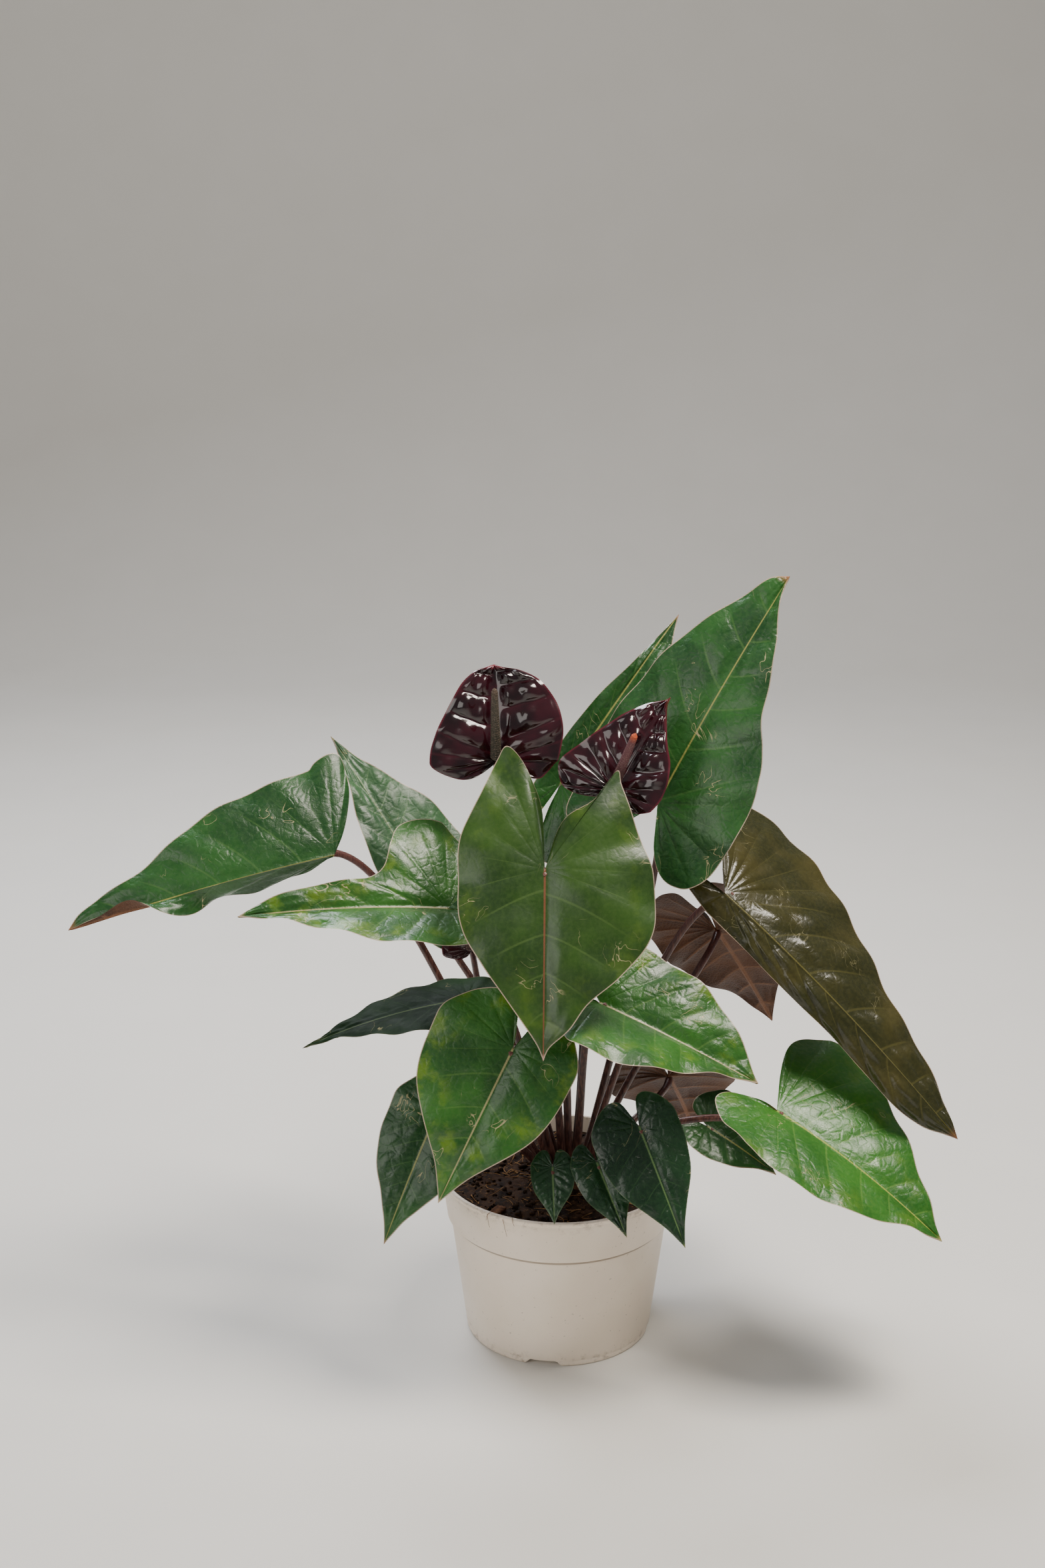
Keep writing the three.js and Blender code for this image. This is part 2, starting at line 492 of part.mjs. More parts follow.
// ---- Round stems along a curve ----
function tube(start, startWay, end, endWay, pull, radius) {
  const span = start.distanceTo(end);
  const path = new THREE.CubicBezierCurve3(
    start, start.clone().addScaledVector(startWay, span * pull[0]),
    end.clone().addScaledVector(endWay, -span * pull[1]), end,
  );
  const corners = [];
  for (let k = 0; k < TUBE_SIDES; k += 1) {
    const a = (2 * Math.PI * k) / TUBE_SIDES;
    corners.push(new THREE.Vector2(radius * Math.cos(a), radius * Math.sin(a)));
  }
  return closed(new THREE.ExtrudeGeometry(new THREE.Shape(corners), {
    steps: TUBE_STEPS, extrudePath: path, bevelEnabled: false,
  }));
}

function stemFor(row, radius, thickness) {
  const frame = bladeFrame(row);
  const foot = crownPoint(row.root[0], row.root[1]);
  const start = foot.point.clone().addScaledVector(foot.normal, GAP);
  const lean = rad(row.lean ?? 30);
  const endWay = frame.up.clone().multiplyScalar(Math.cos(lean)).addScaledVector(frame.along, Math.sin(lean));
  const low = thickness / 2 + GAP + radius * Math.sin(lean);
  const end = frame.at.clone().addScaledVector(frame.along, 3).addScaledVector(frame.up, -low)
    .addScaledVector(frame.side, row.shift ?? 0);
  return tube(start, foot.normal, end, endWay, [row.rise, row.reach], radius);
}

// The flower spike, standing on the origin: a tapering rod with a rounded end.
function spadix(length) {
  const thin = SPADIX_RADIUS * SPADIX_TAPER;
  return turned([
    [0, 0], [SPADIX_RADIUS, 0], [(SPADIX_RADIUS + thin) / 2, length / 2], [thin, length - thin / 2],
    [thin * 0.6, length - thin / 8], [0, length],
  ], 10);
}

for (const row of LEAVES) {
  add(`leaf_blade_${row.name}`, blade(row, LEAF_OUTLINE, BLADE_THICKNESS),
    paint(`leaf_${row.name}`, row.name === 'G' ? 0x3c3f1c : 0x1f4a1c));
  add(`petiole_${row.name}`, stemFor(row, PETIOLE_RADIUS, BLADE_THICKNESS),
    paint(`petiole_skin_${row.name}`, 0x5a2a1e));
}
for (const row of FLOWERS) {
  add(`spathe_${row.name}`, blade(row, SPATHE_OUTLINE, SPATHE_THICKNESS),
    paint(`spathe_${row.name}`, 0x24090d));
  add(`peduncle_${row.name}`, stemFor(row, PEDUNCLE_RADIUS, SPATHE_THICKNESS),
    paint(`peduncle_skin_${row.name}`, 0x4a241a));
  const frame = bladeFrame(row);
  const lean = rad(row.spadix[1]);
  const way = frame.along.clone().multiplyScalar(Math.cos(lean)).addScaledVector(frame.up, Math.sin(lean));
  const low = SPATHE_THICKNESS / 2 + GAP + SPADIX_RADIUS * Math.cos(lean)
    + 0.3 * SPADIX_RADIUS * Math.tan(rad(Math.max(row.left, row.right)));
  const start = frame.at.clone().addScaledVector(frame.along, 3).addScaledVector(frame.up, low);
  const turn = new THREE.Quaternion().setFromUnitVectors(vec([0, 0, 1]), way);
  const spike = spadix(row.spadix[0]).applyQuaternion(turn).translate(start.x, start.y, start.z);
  add(`spadix_${row.name}`, closed(spike), paint(`spadix_${row.name}`, 0x3a2320));
}

// ---- Bark chips ----
CHIPS.forEach((chip, i) => {
  const radius = wallInside(SOIL_LEVEL) - chip.inset;
  const x = radius * Math.cos(rad(chip.azimuth));
  const y = radius * Math.sin(rad(chip.azimuth));
  const cos = Math.cos(rad(chip.turn)) / 2;
  const sin = Math.sin(rad(chip.turn)) / 2;
  let high = 0;
  for (const i of [-1, -0.5, 0, 0.5, 1]) {
    for (const j of [-1, 0, 1]) {
      const [a, b] = [i * chip.size[0], j * chip.size[1]];
      high = Math.max(high, soilHeight(x + a * cos - b * sin, y + a * sin + b * cos));
    }
  }
  const flake = new THREE.BoxGeometry(...chip.size).rotateZ(rad(chip.turn))
    .translate(x, y, high + CHIP_CLEARANCE + chip.size[2] / 2);
  add(`bark_chip_${i + 1}`, closed(flake), paint(`bark_${i + 1}`, 0x5b3a22, 0.9));
});

export default object;
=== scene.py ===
"""Looks for the potted anthurium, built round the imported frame. Lengths in the tables are millimetres."""
import math
import random

import bmesh
import bpy
from mathutils import Matrix, Vector, noise


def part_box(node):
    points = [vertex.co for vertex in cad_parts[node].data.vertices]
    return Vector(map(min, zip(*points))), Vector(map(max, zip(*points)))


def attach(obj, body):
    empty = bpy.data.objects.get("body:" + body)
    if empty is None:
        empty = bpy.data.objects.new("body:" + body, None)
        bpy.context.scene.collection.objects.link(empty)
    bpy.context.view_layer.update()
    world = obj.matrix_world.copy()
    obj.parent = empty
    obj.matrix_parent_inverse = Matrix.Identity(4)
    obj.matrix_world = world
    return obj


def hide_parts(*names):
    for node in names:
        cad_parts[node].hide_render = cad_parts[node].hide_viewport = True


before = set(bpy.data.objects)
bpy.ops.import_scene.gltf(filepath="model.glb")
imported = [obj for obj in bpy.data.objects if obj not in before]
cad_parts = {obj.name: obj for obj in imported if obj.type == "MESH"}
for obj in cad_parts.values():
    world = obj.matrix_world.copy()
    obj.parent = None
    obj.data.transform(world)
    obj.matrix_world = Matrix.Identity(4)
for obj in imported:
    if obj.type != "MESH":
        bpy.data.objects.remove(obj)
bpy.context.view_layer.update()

MM = 0.001

# ---- Sizes shared with the frame ----
POT_HEIGHT = 106
RIM_RADIUS = 74
COLLAR_HEIGHT = 29
COLLAR_TAPER = 4.5
STEP_IN = 2
BASE_RADIUS = 58
WALL = 1.8
FLOOR_THICKNESS = 2.2
NOTCH_COUNT = 4
NOTCH_WIDTH = 24
NOTCH_HEIGHT = 4
NOTCH_REACH = 6
NOTCH_ANGLE = 260
SOIL_DROP = 11
SOIL_MOUND = 2.5
CROWN_RADIUS = 23
CROWN_HALF_HEIGHT = 14
CROWN_X = 6
CROWN_SINK = 3
GAP = 0.35
BLADE_THICKNESS = 1
SPATHE_THICKNESS = 1
PETIOLE_RADIUS = 2.1
PEDUNCLE_RADIUS = 2
SPADIX_RADIUS = 3.2
SPADIX_TAPER = 0.55
SOIL_LEVEL = POT_HEIGHT - SOIL_DROP
CROWN_Z = SOIL_LEVEL - CROWN_SINK

# ---- Half outlines: along the midrib (1 = tip, -1 = end of a lobe), then across it (1 = widest) ----
LEAF_OUTLINE = [
    (1, 0), (0.94, 0.06), (0.8, 0.23), (0.66, 0.46), (0.46, 0.8), (0.3, 0.94), (0.1, 1),
    (-0.2, 0.98), (-0.5, 0.86), (-0.8, 0.68), (-1, 0.42), (-0.9, 0.2), (-0.45, 0.08), (0, 0),
]
SPATHE_OUTLINE = [
    (1, 0), (0.93, 0.07), (0.84, 0.28), (0.7, 0.55), (0.5, 0.8), (0.3, 0.93), (0.1, 1),
    (-0.3, 0.97), (-0.65, 0.82), (-0.95, 0.56), (-1, 0.36), (-0.8, 0.16), (-0.35, 0.06), (0, 0),
]
OWN_EDGES = {
    "A": [
        (1, 0), (0.95, 0.12), (0.86, 0.22), (0.73, 0.32), (0.57, 0.52), (0.41, 0.72), (0.24, 0.82),
        (0.04, 0.9), (-0.25, 0.98), (-0.8, 1.02), (-1, 0.92), (-0.9, 0.6), (-0.5, 0.25), (0, 0),
    ],
    "Anear": [
        (1, 0), (0.9, 0.12), (0.78, 0.28), (0.66, 0.42), (0.54, 0.54), (0.43, 0.64), (0.33, 0.7),
        (0.24, 0.7), (0.16, 0.6), (0.1, 0.42), (0.06, 0.26), (0.03, 0.14), (0.01, 0.05), (0, 0),
    ],
    "C": [
        (1, 0), (0.92, 0.1), (0.82, 0.2), (0.66, 0.29), (0.5, 0.34), (0.38, 0.38), (0.3, 0.52),
        (0.26, 0.82), (0.2, 1.08), (0.06, 1.14), (-0.2, 1.02), (-0.6, 0.7), (-0.45, 0.25), (0, 0),
    ],
    "Dleft": [
        (1, 0), (0.93, 0.05), (0.84, 0.16), (0.67, 0.39), (0.5, 0.62), (0.33, 0.81), (0.1, 0.87),
        (-0.3, 0.84), (-0.68, 0.64), (-0.98, 0.49), (-1.1, 0.38), (-0.88, 0.18), (-0.5, 0.05),
        (0, 0),
    ],
    "Dright": [
        (1, 0), (0.93, 0.06), (0.83, 0.26), (0.7, 0.44), (0.56, 0.75), (0.4, 1.02), (0.2, 1.12),
        (-0.05, 1.06), (-0.5, 0.87), (-0.76, 0.77), (-0.89, 0.72), (-0.62, 0.5), (-0.42, 0.2),
        (0, 0),
    ],
    "Eleft": [
        (1, 0), (0.96, 0.17), (0.88, 0.29), (0.8, 0.43), (0.7, 0.58), (0.6, 0.73), (0.46, 0.85),
        (0.28, 0.96), (0.08, 1.02), (-0.3, 1), (-0.8, 0.9), (-0.85, 0.58), (-0.45, 0.22), (0, 0),
    ],
    "Eright": [
        (1, 0), (0.92, 0.05), (0.83, 0.16), (0.74, 0.3), (0.62, 0.45), (0.48, 0.59), (0.38, 0.76),
        (0.28, 0.9), (0.12, 0.99), (-0.25, 0.97), (-0.64, 0.9), (-0.88, 0.7), (-0.8, 0.38), (0, 0),
    ],
    "Gfar": [
        (1, 0), (0.93, 0.13), (0.83, 0.29), (0.72, 0.42), (0.6, 0.55), (0.48, 0.74), (0.36, 0.98),
        (0.22, 1.19), (0.05, 1.36), (-0.4, 1.38), (-0.85, 1.3), (-1.03, 0.95), (-0.6, 0.42), (0, 0),
    ],
    "Gnear": [
        (1, 0), (0.96, 0.25), (0.9, 0.62), (0.8, 0.84), (0.66, 0.86), (0.5, 0.84), (0.34, 0.9),
        (0.16, 0.86), (-0.1, 0.8), (-0.55, 0.62), (-1.1, 0.4), (-0.95, 0.2), (-0.45, 0.08), (0, 0),
    ],
    "Iupper": [
        (1, 0), (0.95, 0.1), (0.86, 0.32), (0.75, 0.53), (0.61, 0.73), (0.48, 0.88), (0.36, 0.94),
        (0.24, 0.97), (0.1, 1), (-0.2, 0.98), (-0.5, 0.86), (-0.9, 0.45), (-0.5, 0.15), (0, 0),
    ],
    "Jfar": [
        (1, 0), (0.93, 0.11), (0.84, 0.28), (0.74, 0.46), (0.62, 0.7), (0.5, 0.92), (0.38, 1.12),
        (0.26, 1.26), (0.12, 1.38), (-0.1, 1.42), (-0.45, 1.24), (-0.55, 0.88), (-0.32, 0.42),
        (0, 0),
    ],
    "Jnear": [
        (1, 0), (0.93, 0.11), (0.82, 0.26), (0.71, 0.46), (0.6, 0.67), (0.5, 0.78), (0.38, 0.88),
        (0.24, 0.91), (0.08, 0.86), (-0.25, 0.76), (-0.6, 0.66), (-0.92, 0.42), (-0.7, 0.15),
        (0, 0),
    ],
    "S1left": [
        (1, 0), (0.98, 0.1), (0.93, 0.28), (0.82, 0.46), (0.66, 0.6), (0.5, 0.72), (0.29, 0.86),
        (0.04, 0.95), (-0.3, 0.9), (-0.68, 0.72), (-0.9, 0.49), (-0.77, 0.28), (-0.35, 0.1), (0, 0),
    ],
    "S1right": [
        (1, 0), (0.97, 0.12), (0.93, 0.38), (0.83, 0.64), (0.65, 0.84), (0.5, 0.93), (0.31, 0.97),
        (0.12, 0.93), (-0.14, 0.84), (-0.63, 0.72), (-0.9, 0.6), (-0.75, 0.32), (-0.35, 0.1),
        (0, 0),
    ],
    "S2left": [
        (1, 0), (0.95, 0.06), (0.82, 0.31), (0.66, 0.51), (0.51, 0.66), (0.28, 0.85), (0.1, 1),
        (-0.05, 1.06), (-0.4, 1.02), (-0.8, 0.83), (-0.84, 0.58), (-0.68, 0.32), (-0.42, 0.12),
        (0, 0),
    ],
    "S2right": [
        (1, 0), (0.92, 0.03), (0.75, 0.22), (0.58, 0.47), (0.46, 0.65), (0.3, 0.79), (0.11, 0.82),
        (-0.07, 0.75), (-0.3, 0.6), (-0.37, 0.45), (-0.33, 0.3), (-0.2, 0.15), (-0.08, 0.06),
        (0, 0),
    ],
}

# ---- Leaves and flowers, as the frame has them, with the skin each leaf wears. Heights are above
# the soil's edge; root is the azimuth and the share of the crown's radius of a stalk's foot. ----
LEAVES = [
    dict(name="A", at=(-134, -5, 217), tip=(-289, -30, 179), face=(0, -0.85, 0.55), width=124,
         lobe=0.13, bend=24, left=4, right=-72, slim=(1, 0.4), shift=-3, curl=16, twist=10, upturn=190,
         root=(180, 0.7), rise=0.35, reach=0.2, lean=70, own=("A", "Anear"), skin="green"),
    dict(name="B", at=(-80, 40, 177), tip=(-142, 80, 266), face=(0.25, -0.75, 0.6), width=78,
         lobe=0.3, bend=12, left=2, right=8, curl=10, root=(138, 0.41), rise=0.5, reach=0.3,
         slim=(1, 0.6), skin="pale"),
    dict(name="C", at=(-66, -30, 193), tip=(-186, -55, 197), face=(0, -0.65, 0.76), width=98,
         lobe=0.2, bend=20, left=14, right=30, curl=12, root=(215, 0.41), rise=0.5, reach=0.25,
         lean=55, own=("C", None), slim=(1, 0.75), skin="sunlit"),
    dict(name="D", at=(-10, -66, 230), tip=(-11, -106, 130), face=(0, -1, 0.3), width=114, lobe=0.6,
         bend=16, left=12, right=12, curl=26, root=(265, 0.15), rise=0.5, reach=0.25,
         own=("Dleft", "Dright"), skin="olive"),
    dict(name="E", at=(57, 2, 247), tip=(135, 38, 376), face=(-0.3, -0.8, 0.5), width=106,
         lobe=0.27, bend=14, left=6, right=6, curl=16, root=(25, 0.41), rise=0.5, reach=0.25,
         own=("Eright", "Eleft"), skin="green"),
    dict(name="F", at=(1, 58, 242), tip=(75, 105, 338), face=(0, -0.8, 0.55), width=96, lobe=0.35,
         bend=14, left=6, right=20, slim=(1, 0.3), curl=14, root=(90, 0.41), rise=0.5, reach=0.25,
         skin="green"),
    dict(name="G", at=(98, -5, 193), tip=(234, -60, 59), face=(0.3, -0.6, 0.74), width=110,
         lobe=0.185, bend=14, left=-35, right=4, slim=(0.35, 1), shift=4, curl=18, root=(345, 0.41),
         rise=0.5, reach=0.25, own=("Gnear", "Gfar"), skin="bronze"),
    dict(name="H", at=(98, 48, 151), tip=(141, 92, 69), face=(0, 0.8, 0.55), width=84, lobe=0.5,
         bend=14, left=8, right=8, curl=14, root=(40, 0.7), rise=0.5, reach=0.25, skin="bronze"),
    dict(name="I", at=(22, -62, 147), tip=(112, -88, 108), face=(0.1, -0.75, 0.65), width=86,
         lobe=0.15, bend=14, left=40, right=4, curl=14, root=(290, 0.41), rise=0.5, reach=0.25,
         own=(None, "Iupper"), skin="sunlit"),
    dict(name="J", at=(128, -50, 73), tip=(221, -95, 11), face=(0.25, -0.6, 0.75), width=96,
         lobe=0.28, bend=24, left=20, right=4, curl=12, root=(328, 0.7), rise=0.6, reach=0.25,
         own=("Jnear", "Jfar"), skin="bright"),
    dict(name="K", at=(92, 0, 38), tip=(134, -12, 11), face=(0.1, -0.6, 0.8), width=56, lobe=0.3,
         bend=16, left=10, right=10, curl=12, root=(350, 0.7), rise=0.5, reach=0.25, slim=(0.7, 1),
         skin="green"),
    dict(name="L", at=(70, 48, 51), tip=(90, 85, -4), face=(0, 0.8, 0.6), width=84, lobe=0.4,
         bend=20, left=6, right=6, curl=12, root=(14, 0.7), rise=0.5, reach=0.25, skin="bronze"),
    dict(name="M", at=(-28, -82, 127), tip=(-71, -105, 41), face=(0, -0.9, 0.45), width=96,
         lobe=0.28, bend=20, left=8, right=8, curl=14, root=(241, 0.7), rise=0.6, reach=0.25,
         slim=(1, 0.82), skin="sunlit"),
    dict(name="N", at=(-55, -45, 142), tip=(-151, -57, 116), face=(0, -0.1, 1), width=56, lobe=0.25,
         bend=20, left=6, right=6, curl=14, root=(199, 0.7), rise=0.5, reach=0.25, skin="shaded"),
    dict(name="O", at=(-73, -60, 76), tip=(-104, -84, 3), face=(-0.2, -0.9, 0.4), width=56,
         lobe=0.25, bend=20, left=8, right=8, curl=14, root=(218, 0.7), rise=0.5, reach=0.25,
         skin="green"),
    dict(name="P", at=(45, -78, 76), tip=(71, -108, 14), face=(0, -0.9, 0.45), width=58, lobe=0.25,
         bend=20, left=8, right=8, curl=14, root=(307, 0.7), rise=0.5, reach=0.25, slim=(1, 0.8),
         skin="dark"),
    dict(name="Q", at=(21, -72, 50), tip=(38, -94, 13), face=(0, -0.9, 0.45), width=32, lobe=0.3,
         bend=16, left=8, right=8, curl=10, root=(286, 0.7), rise=0.4, reach=0.25, skin="dark"),
    dict(name="R", at=(-5, -72, 47), tip=(-4, -88, 18), face=(0, -0.9, 0.45), width=26, lobe=0.3,
         bend=16, left=8, right=8, curl=10, root=(264, 0.7), rise=0.4, reach=0.25, skin="dark"),
    dict(name="S", at=(-6, -52, 127), tip=(-22, -60, 117), face=(0, -0.9, 0.45), width=20, lobe=0.3,
         bend=10, left=8, right=8, curl=10, root=(250, 0.41), rise=0.5, reach=0.25, skin="dark"),
]
FLOWERS = [
    dict(name="1", at=(-38, -5, 275), tip=(-39, 12, 329), face=(0, -0.9, 0.45), width=82, lobe=0.2,
         bend=10, left=10, right=10, curl=10, root=(150, 0.15), rise=0.5, reach=0.3,
         spadix=(44, 24), own=("S1right", "S1left")),
    dict(name="2", at=(30, -22, 263), tip=(63, -6, 314), face=(-0.2, -0.85, 0.5), width=68,
         lobe=0.25, bend=10, left=10, right=10, curl=12, root=(20, 0.15), rise=0.5, reach=0.3,
         spadix=(36, 28), lean=62, own=("S2right", "S2left")),
    dict(name="3", at=(-54, 24, 146), tip=(-57, 26, 167), face=(0, -0.9, 0.1), width=36, lobe=0.25,
         bend=10, left=8, right=8, curl=10, root=(160, 0.7), rise=0.5, reach=0.3, spadix=(13, 8),
         lean=60),
]
CHIPS = [
    dict(azimuth=-52, inset=12.5, size=(12, 7, 3), turn=35),
    dict(azimuth=-22, inset=11.5, size=(11, 8, 3), turn=-20),
    dict(azimuth=-131, inset=12.5, size=(12, 7, 3), turn=60),
]


# ---- Small tools ----
def srgb(code):
    """A hex colour as linear red, green, blue and alpha."""
    parts = [int(code[i:i + 2], 16) / 255 for i in (1, 3, 5)]
    line = [p / 12.92 if p <= 0.04045 else ((p + 0.055) / 1.055) ** 2.4 for p in parts]
    return (*line, 1.0)


def node(tree, kind, feeds=(), out=0, **settings):
    """Adds a node and gives one of its outputs. feeds holds a value or another node's output for
    each input, in order or by name."""
    made = tree.nodes.new("ShaderNode" + kind)
    for key, value in settings.items():
        setattr(made, key, value)
    pairs = feeds.items() if isinstance(feeds, dict) else enumerate(feeds)
    for socket, value in pairs:
        if isinstance(value, bpy.types.NodeSocket):
            tree.links.new(value, made.inputs[socket])
        else:
            made.inputs[socket].default_value = value
    return made.outputs[out]


def new_material(name, **sockets):
    """A material with one shader, whose even settings go on its own sockets."""
    made = bpy.data.materials.new(name)
    made.use_nodes = True
    shader = made.node_tree.nodes["Principled BSDF"]
    for socket, value in sockets.items():
        shader.inputs[socket.replace("_", " ")].default_value = value
    return made, made.node_tree


def plug(made, **outputs):
    """Feeds a material's shader from node outputs and gives the material."""
    shader = made.node_tree.nodes["Principled BSDF"]
    for socket, output in outputs.items():
        made.node_tree.links.new(output, shader.inputs[socket.replace("_", " ")])
    return made


def ease(low, high, value):
    """0 below low, 1 above high, and a smooth step between."""
    t = min(max((value - low) / (high - low), 0), 1)
    return t * t * (3 - 2 * t)


def make_piece(name, bm, materials, nodes):
    """Turns a bmesh in millimetres into a finished piece that stands for its CAD nodes."""
    bmesh.ops.scale(bm, vec=(MM, MM, MM), verts=bm.verts)
    for face in bm.faces:
        face.smooth = True
    mesh = bpy.data.meshes.new(name)
    bm.to_mesh(mesh)
    bm.free()
    for material in materials:
        mesh.materials.append(material)
    piece = bpy.data.objects.new(name, mesh)
    bpy.context.scene.collection.objects.link(piece)
    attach(piece, "root")
    if nodes:
        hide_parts(*nodes)
    return piece


# ---- Blade geometry, in millimetres unless a comment says otherwise ----
VEIN_SWEEP = 0.28  # share of the length that a vein runs forward from the midrib to the margin
CROWDING = 1.35  # power that crowds the grid towards the midrib
TIP_ROWS = 3  # rows over which the sheet thins to its ends
RELIEF_ROWS = 8  # rows over which the relief fades in from the tip
BULGE_SIZE = 32
VALLEY_WIDTH = 6
PATTERN_STEP = 200  # between the patterns of two blades
UPTURN_FROM, UPTURN_TO = 0.45, 0.8  # shares of the length


def smooth_edge(outline, t):
    """A point of the smooth line through an outline, for t from 0 at the tip to 1 at the sinus."""
    last = len(outline) - 1
    s = min(max(t, 0), 1) * last
    i = min(int(s), last - 1)
    f = s - i
    p0, p1, p2, p3 = [outline[min(max(k, 0), last)] for k in (i - 1, i, i + 1, i + 2)]
    return [
        0.5 * (2 * b + (c - a) * f + (2 * a - 5 * b + 4 * c - d) * f * f
               + (3 * b - a - 3 * c + d) * f ** 3)
        for a, b, c, d in zip(p0, p1, p2, p3)
    ]


def blade_frame(row):
    """Directions of a blade at its petiole, and its length along the bent midrib."""
    at = Vector(row["at"]) + Vector((0, 0, SOIL_LEVEL))
    chord = Vector(row["tip"]) - Vector(row["at"])
    along = chord.normalized()
    face = Vector(row["face"])
    up = (face - along * face.dot(along)).normalized()
    half = math.radians(row["bend"]) / 2
    return dict(
        at=at, side=up.cross(along), bend=2 * half, length=chord.length * half / math.sin(half),
        along=along * math.cos(half) + up * math.sin(half),
        up=up * math.cos(half) - along * math.sin(half),
    )


def blade_point(row, way, u, v, lift):
    """The point of a blade at u along its midrib and v across it, lifted off its middle."""
    a = way["bend"] * u / way["length"]
    radius = way["length"] / way["bend"]
    fold = math.radians(row["right"] if v > 0 else row["left"])
    if v > 0:
        fold += math.radians(row.get("upturn", 0)) * ease(UPTURN_FROM, UPTURN_TO, u / way["length"])
    curl = math.radians(row["curl"])
    half = row["width"] / 2
    angle = fold - curl * abs(v) / half
    sign = (v > 0) - (v < 0)
    y = (half / curl * (math.sin(fold) - math.sin(angle)) - lift * math.sin(angle)) * sign
    z = half / curl * (math.cos(angle) - math.cos(fold))
    z += lift * (math.cos(angle) if sign else 1)
    turn = math.radians(row.get("twist", 0)) * u / way["length"]
    across = y * math.cos(turn) - z * math.sin(turn)
    high = y * math.sin(turn) + z * math.cos(turn)
    forward = radius * math.sin(a) + high * math.sin(a)
    rise = -radius * (1 - math.cos(a)) + high * math.cos(a)
    return way["at"] + way["along"] * forward + way["up"] * rise + way["side"] * across


def edge_rows(row, outline, way, steps, spacing):
    """For each step from tip to sinus: both edges, the vein count there, and the foot on the midrib."""
    own = row.get("own", (None, None))
    slim = row.get("slim", (1, 1))
    rows = []
    run = [0.0, 0.0]
    for i in range(steps + 1):
        ends = []
        for which in (0, 1):
            line = OWN_EDGES[own[which]] if own[which] else outline
            a, b = smooth_edge(line, i / steps)
            reach = 1 if a > 0 else row["lobe"]
            hand = 1 if which else -1
            ends.append((a * reach * way["length"], b * row["width"] / 2 * slim[which] * hand))
        mean = (ends[0][0] + ends[1][0]) / 2 / way["length"]
        foot = max(0, (mean - VEIN_SWEEP) / (1 - VEIN_SWEEP)) * way["length"]
        if rows:
            for which in (0, 1):
                old = rows[-1]["ends"][which]
                run[which] += math.dist(old, ends[which])
        rows.append(dict(ends=ends, foot=foot, run=list(run)))
    for item in rows:
        item["veins"] = [length / spacing for length in item["run"]]
    return rows


def blade_relief(look, spot):
    """Height of the sheet's own shape at a spot: quilting between veins, sunk veins and wavy edge."""
    t, veins, flat = spot["t"], spot["veins"], spot["flat"]
    middle = ease(0.03, 0.3, t) * (1 - ease(0.78, 0.97, t)) * (0.35 + 0.65 * spot["base"])
    swell = abs(math.sin(math.pi * veins)) ** 0.8
    phase = 2 * math.pi * (2.4 * t + 0.31 * math.floor(veins))
    height = look["quilt"] * swell * middle * (1 + look["lump"] * math.sin(phase))
    height -= look["groove"] * math.exp(-((math.sin(math.pi * veins) / 0.22) ** 2)) * middle
    height += look["roll"] * math.exp(-(((t - 0.92) / 0.06) ** 2)) * spot["base"]
    height += look["inner"] * spot["inner"] * t * t
    cell = look["cell"]
    if look["blister"]:
        found = noise.voronoi(Vector((flat[0] / cell, flat[1] / cell, spot["seed"])))[0]
        puff = min(1, 1.7 * (found[1] - found[0]))
        height += look["blister"] * puff * ease(0.04, 0.2, t) * (1 - ease(0.86, 0.98, t))
    wave = math.sin(2 * math.pi * spot["run"] / look["wave_length"] + spot["seed"])
    height += look["wave"] * t ** 3 * wave * ease(0, 25, spot["run"])
    slow = noise.noise(Vector((flat[0] / BULGE_SIZE, flat[1] / BULGE_SIZE, spot["seed"])))
    height += look["slow"] * slow * ease(0, 0.3, t)
    height -= look["valley"] * math.exp(-((spot["rib"] / VALLEY_WIDTH) ** 2))
    return height


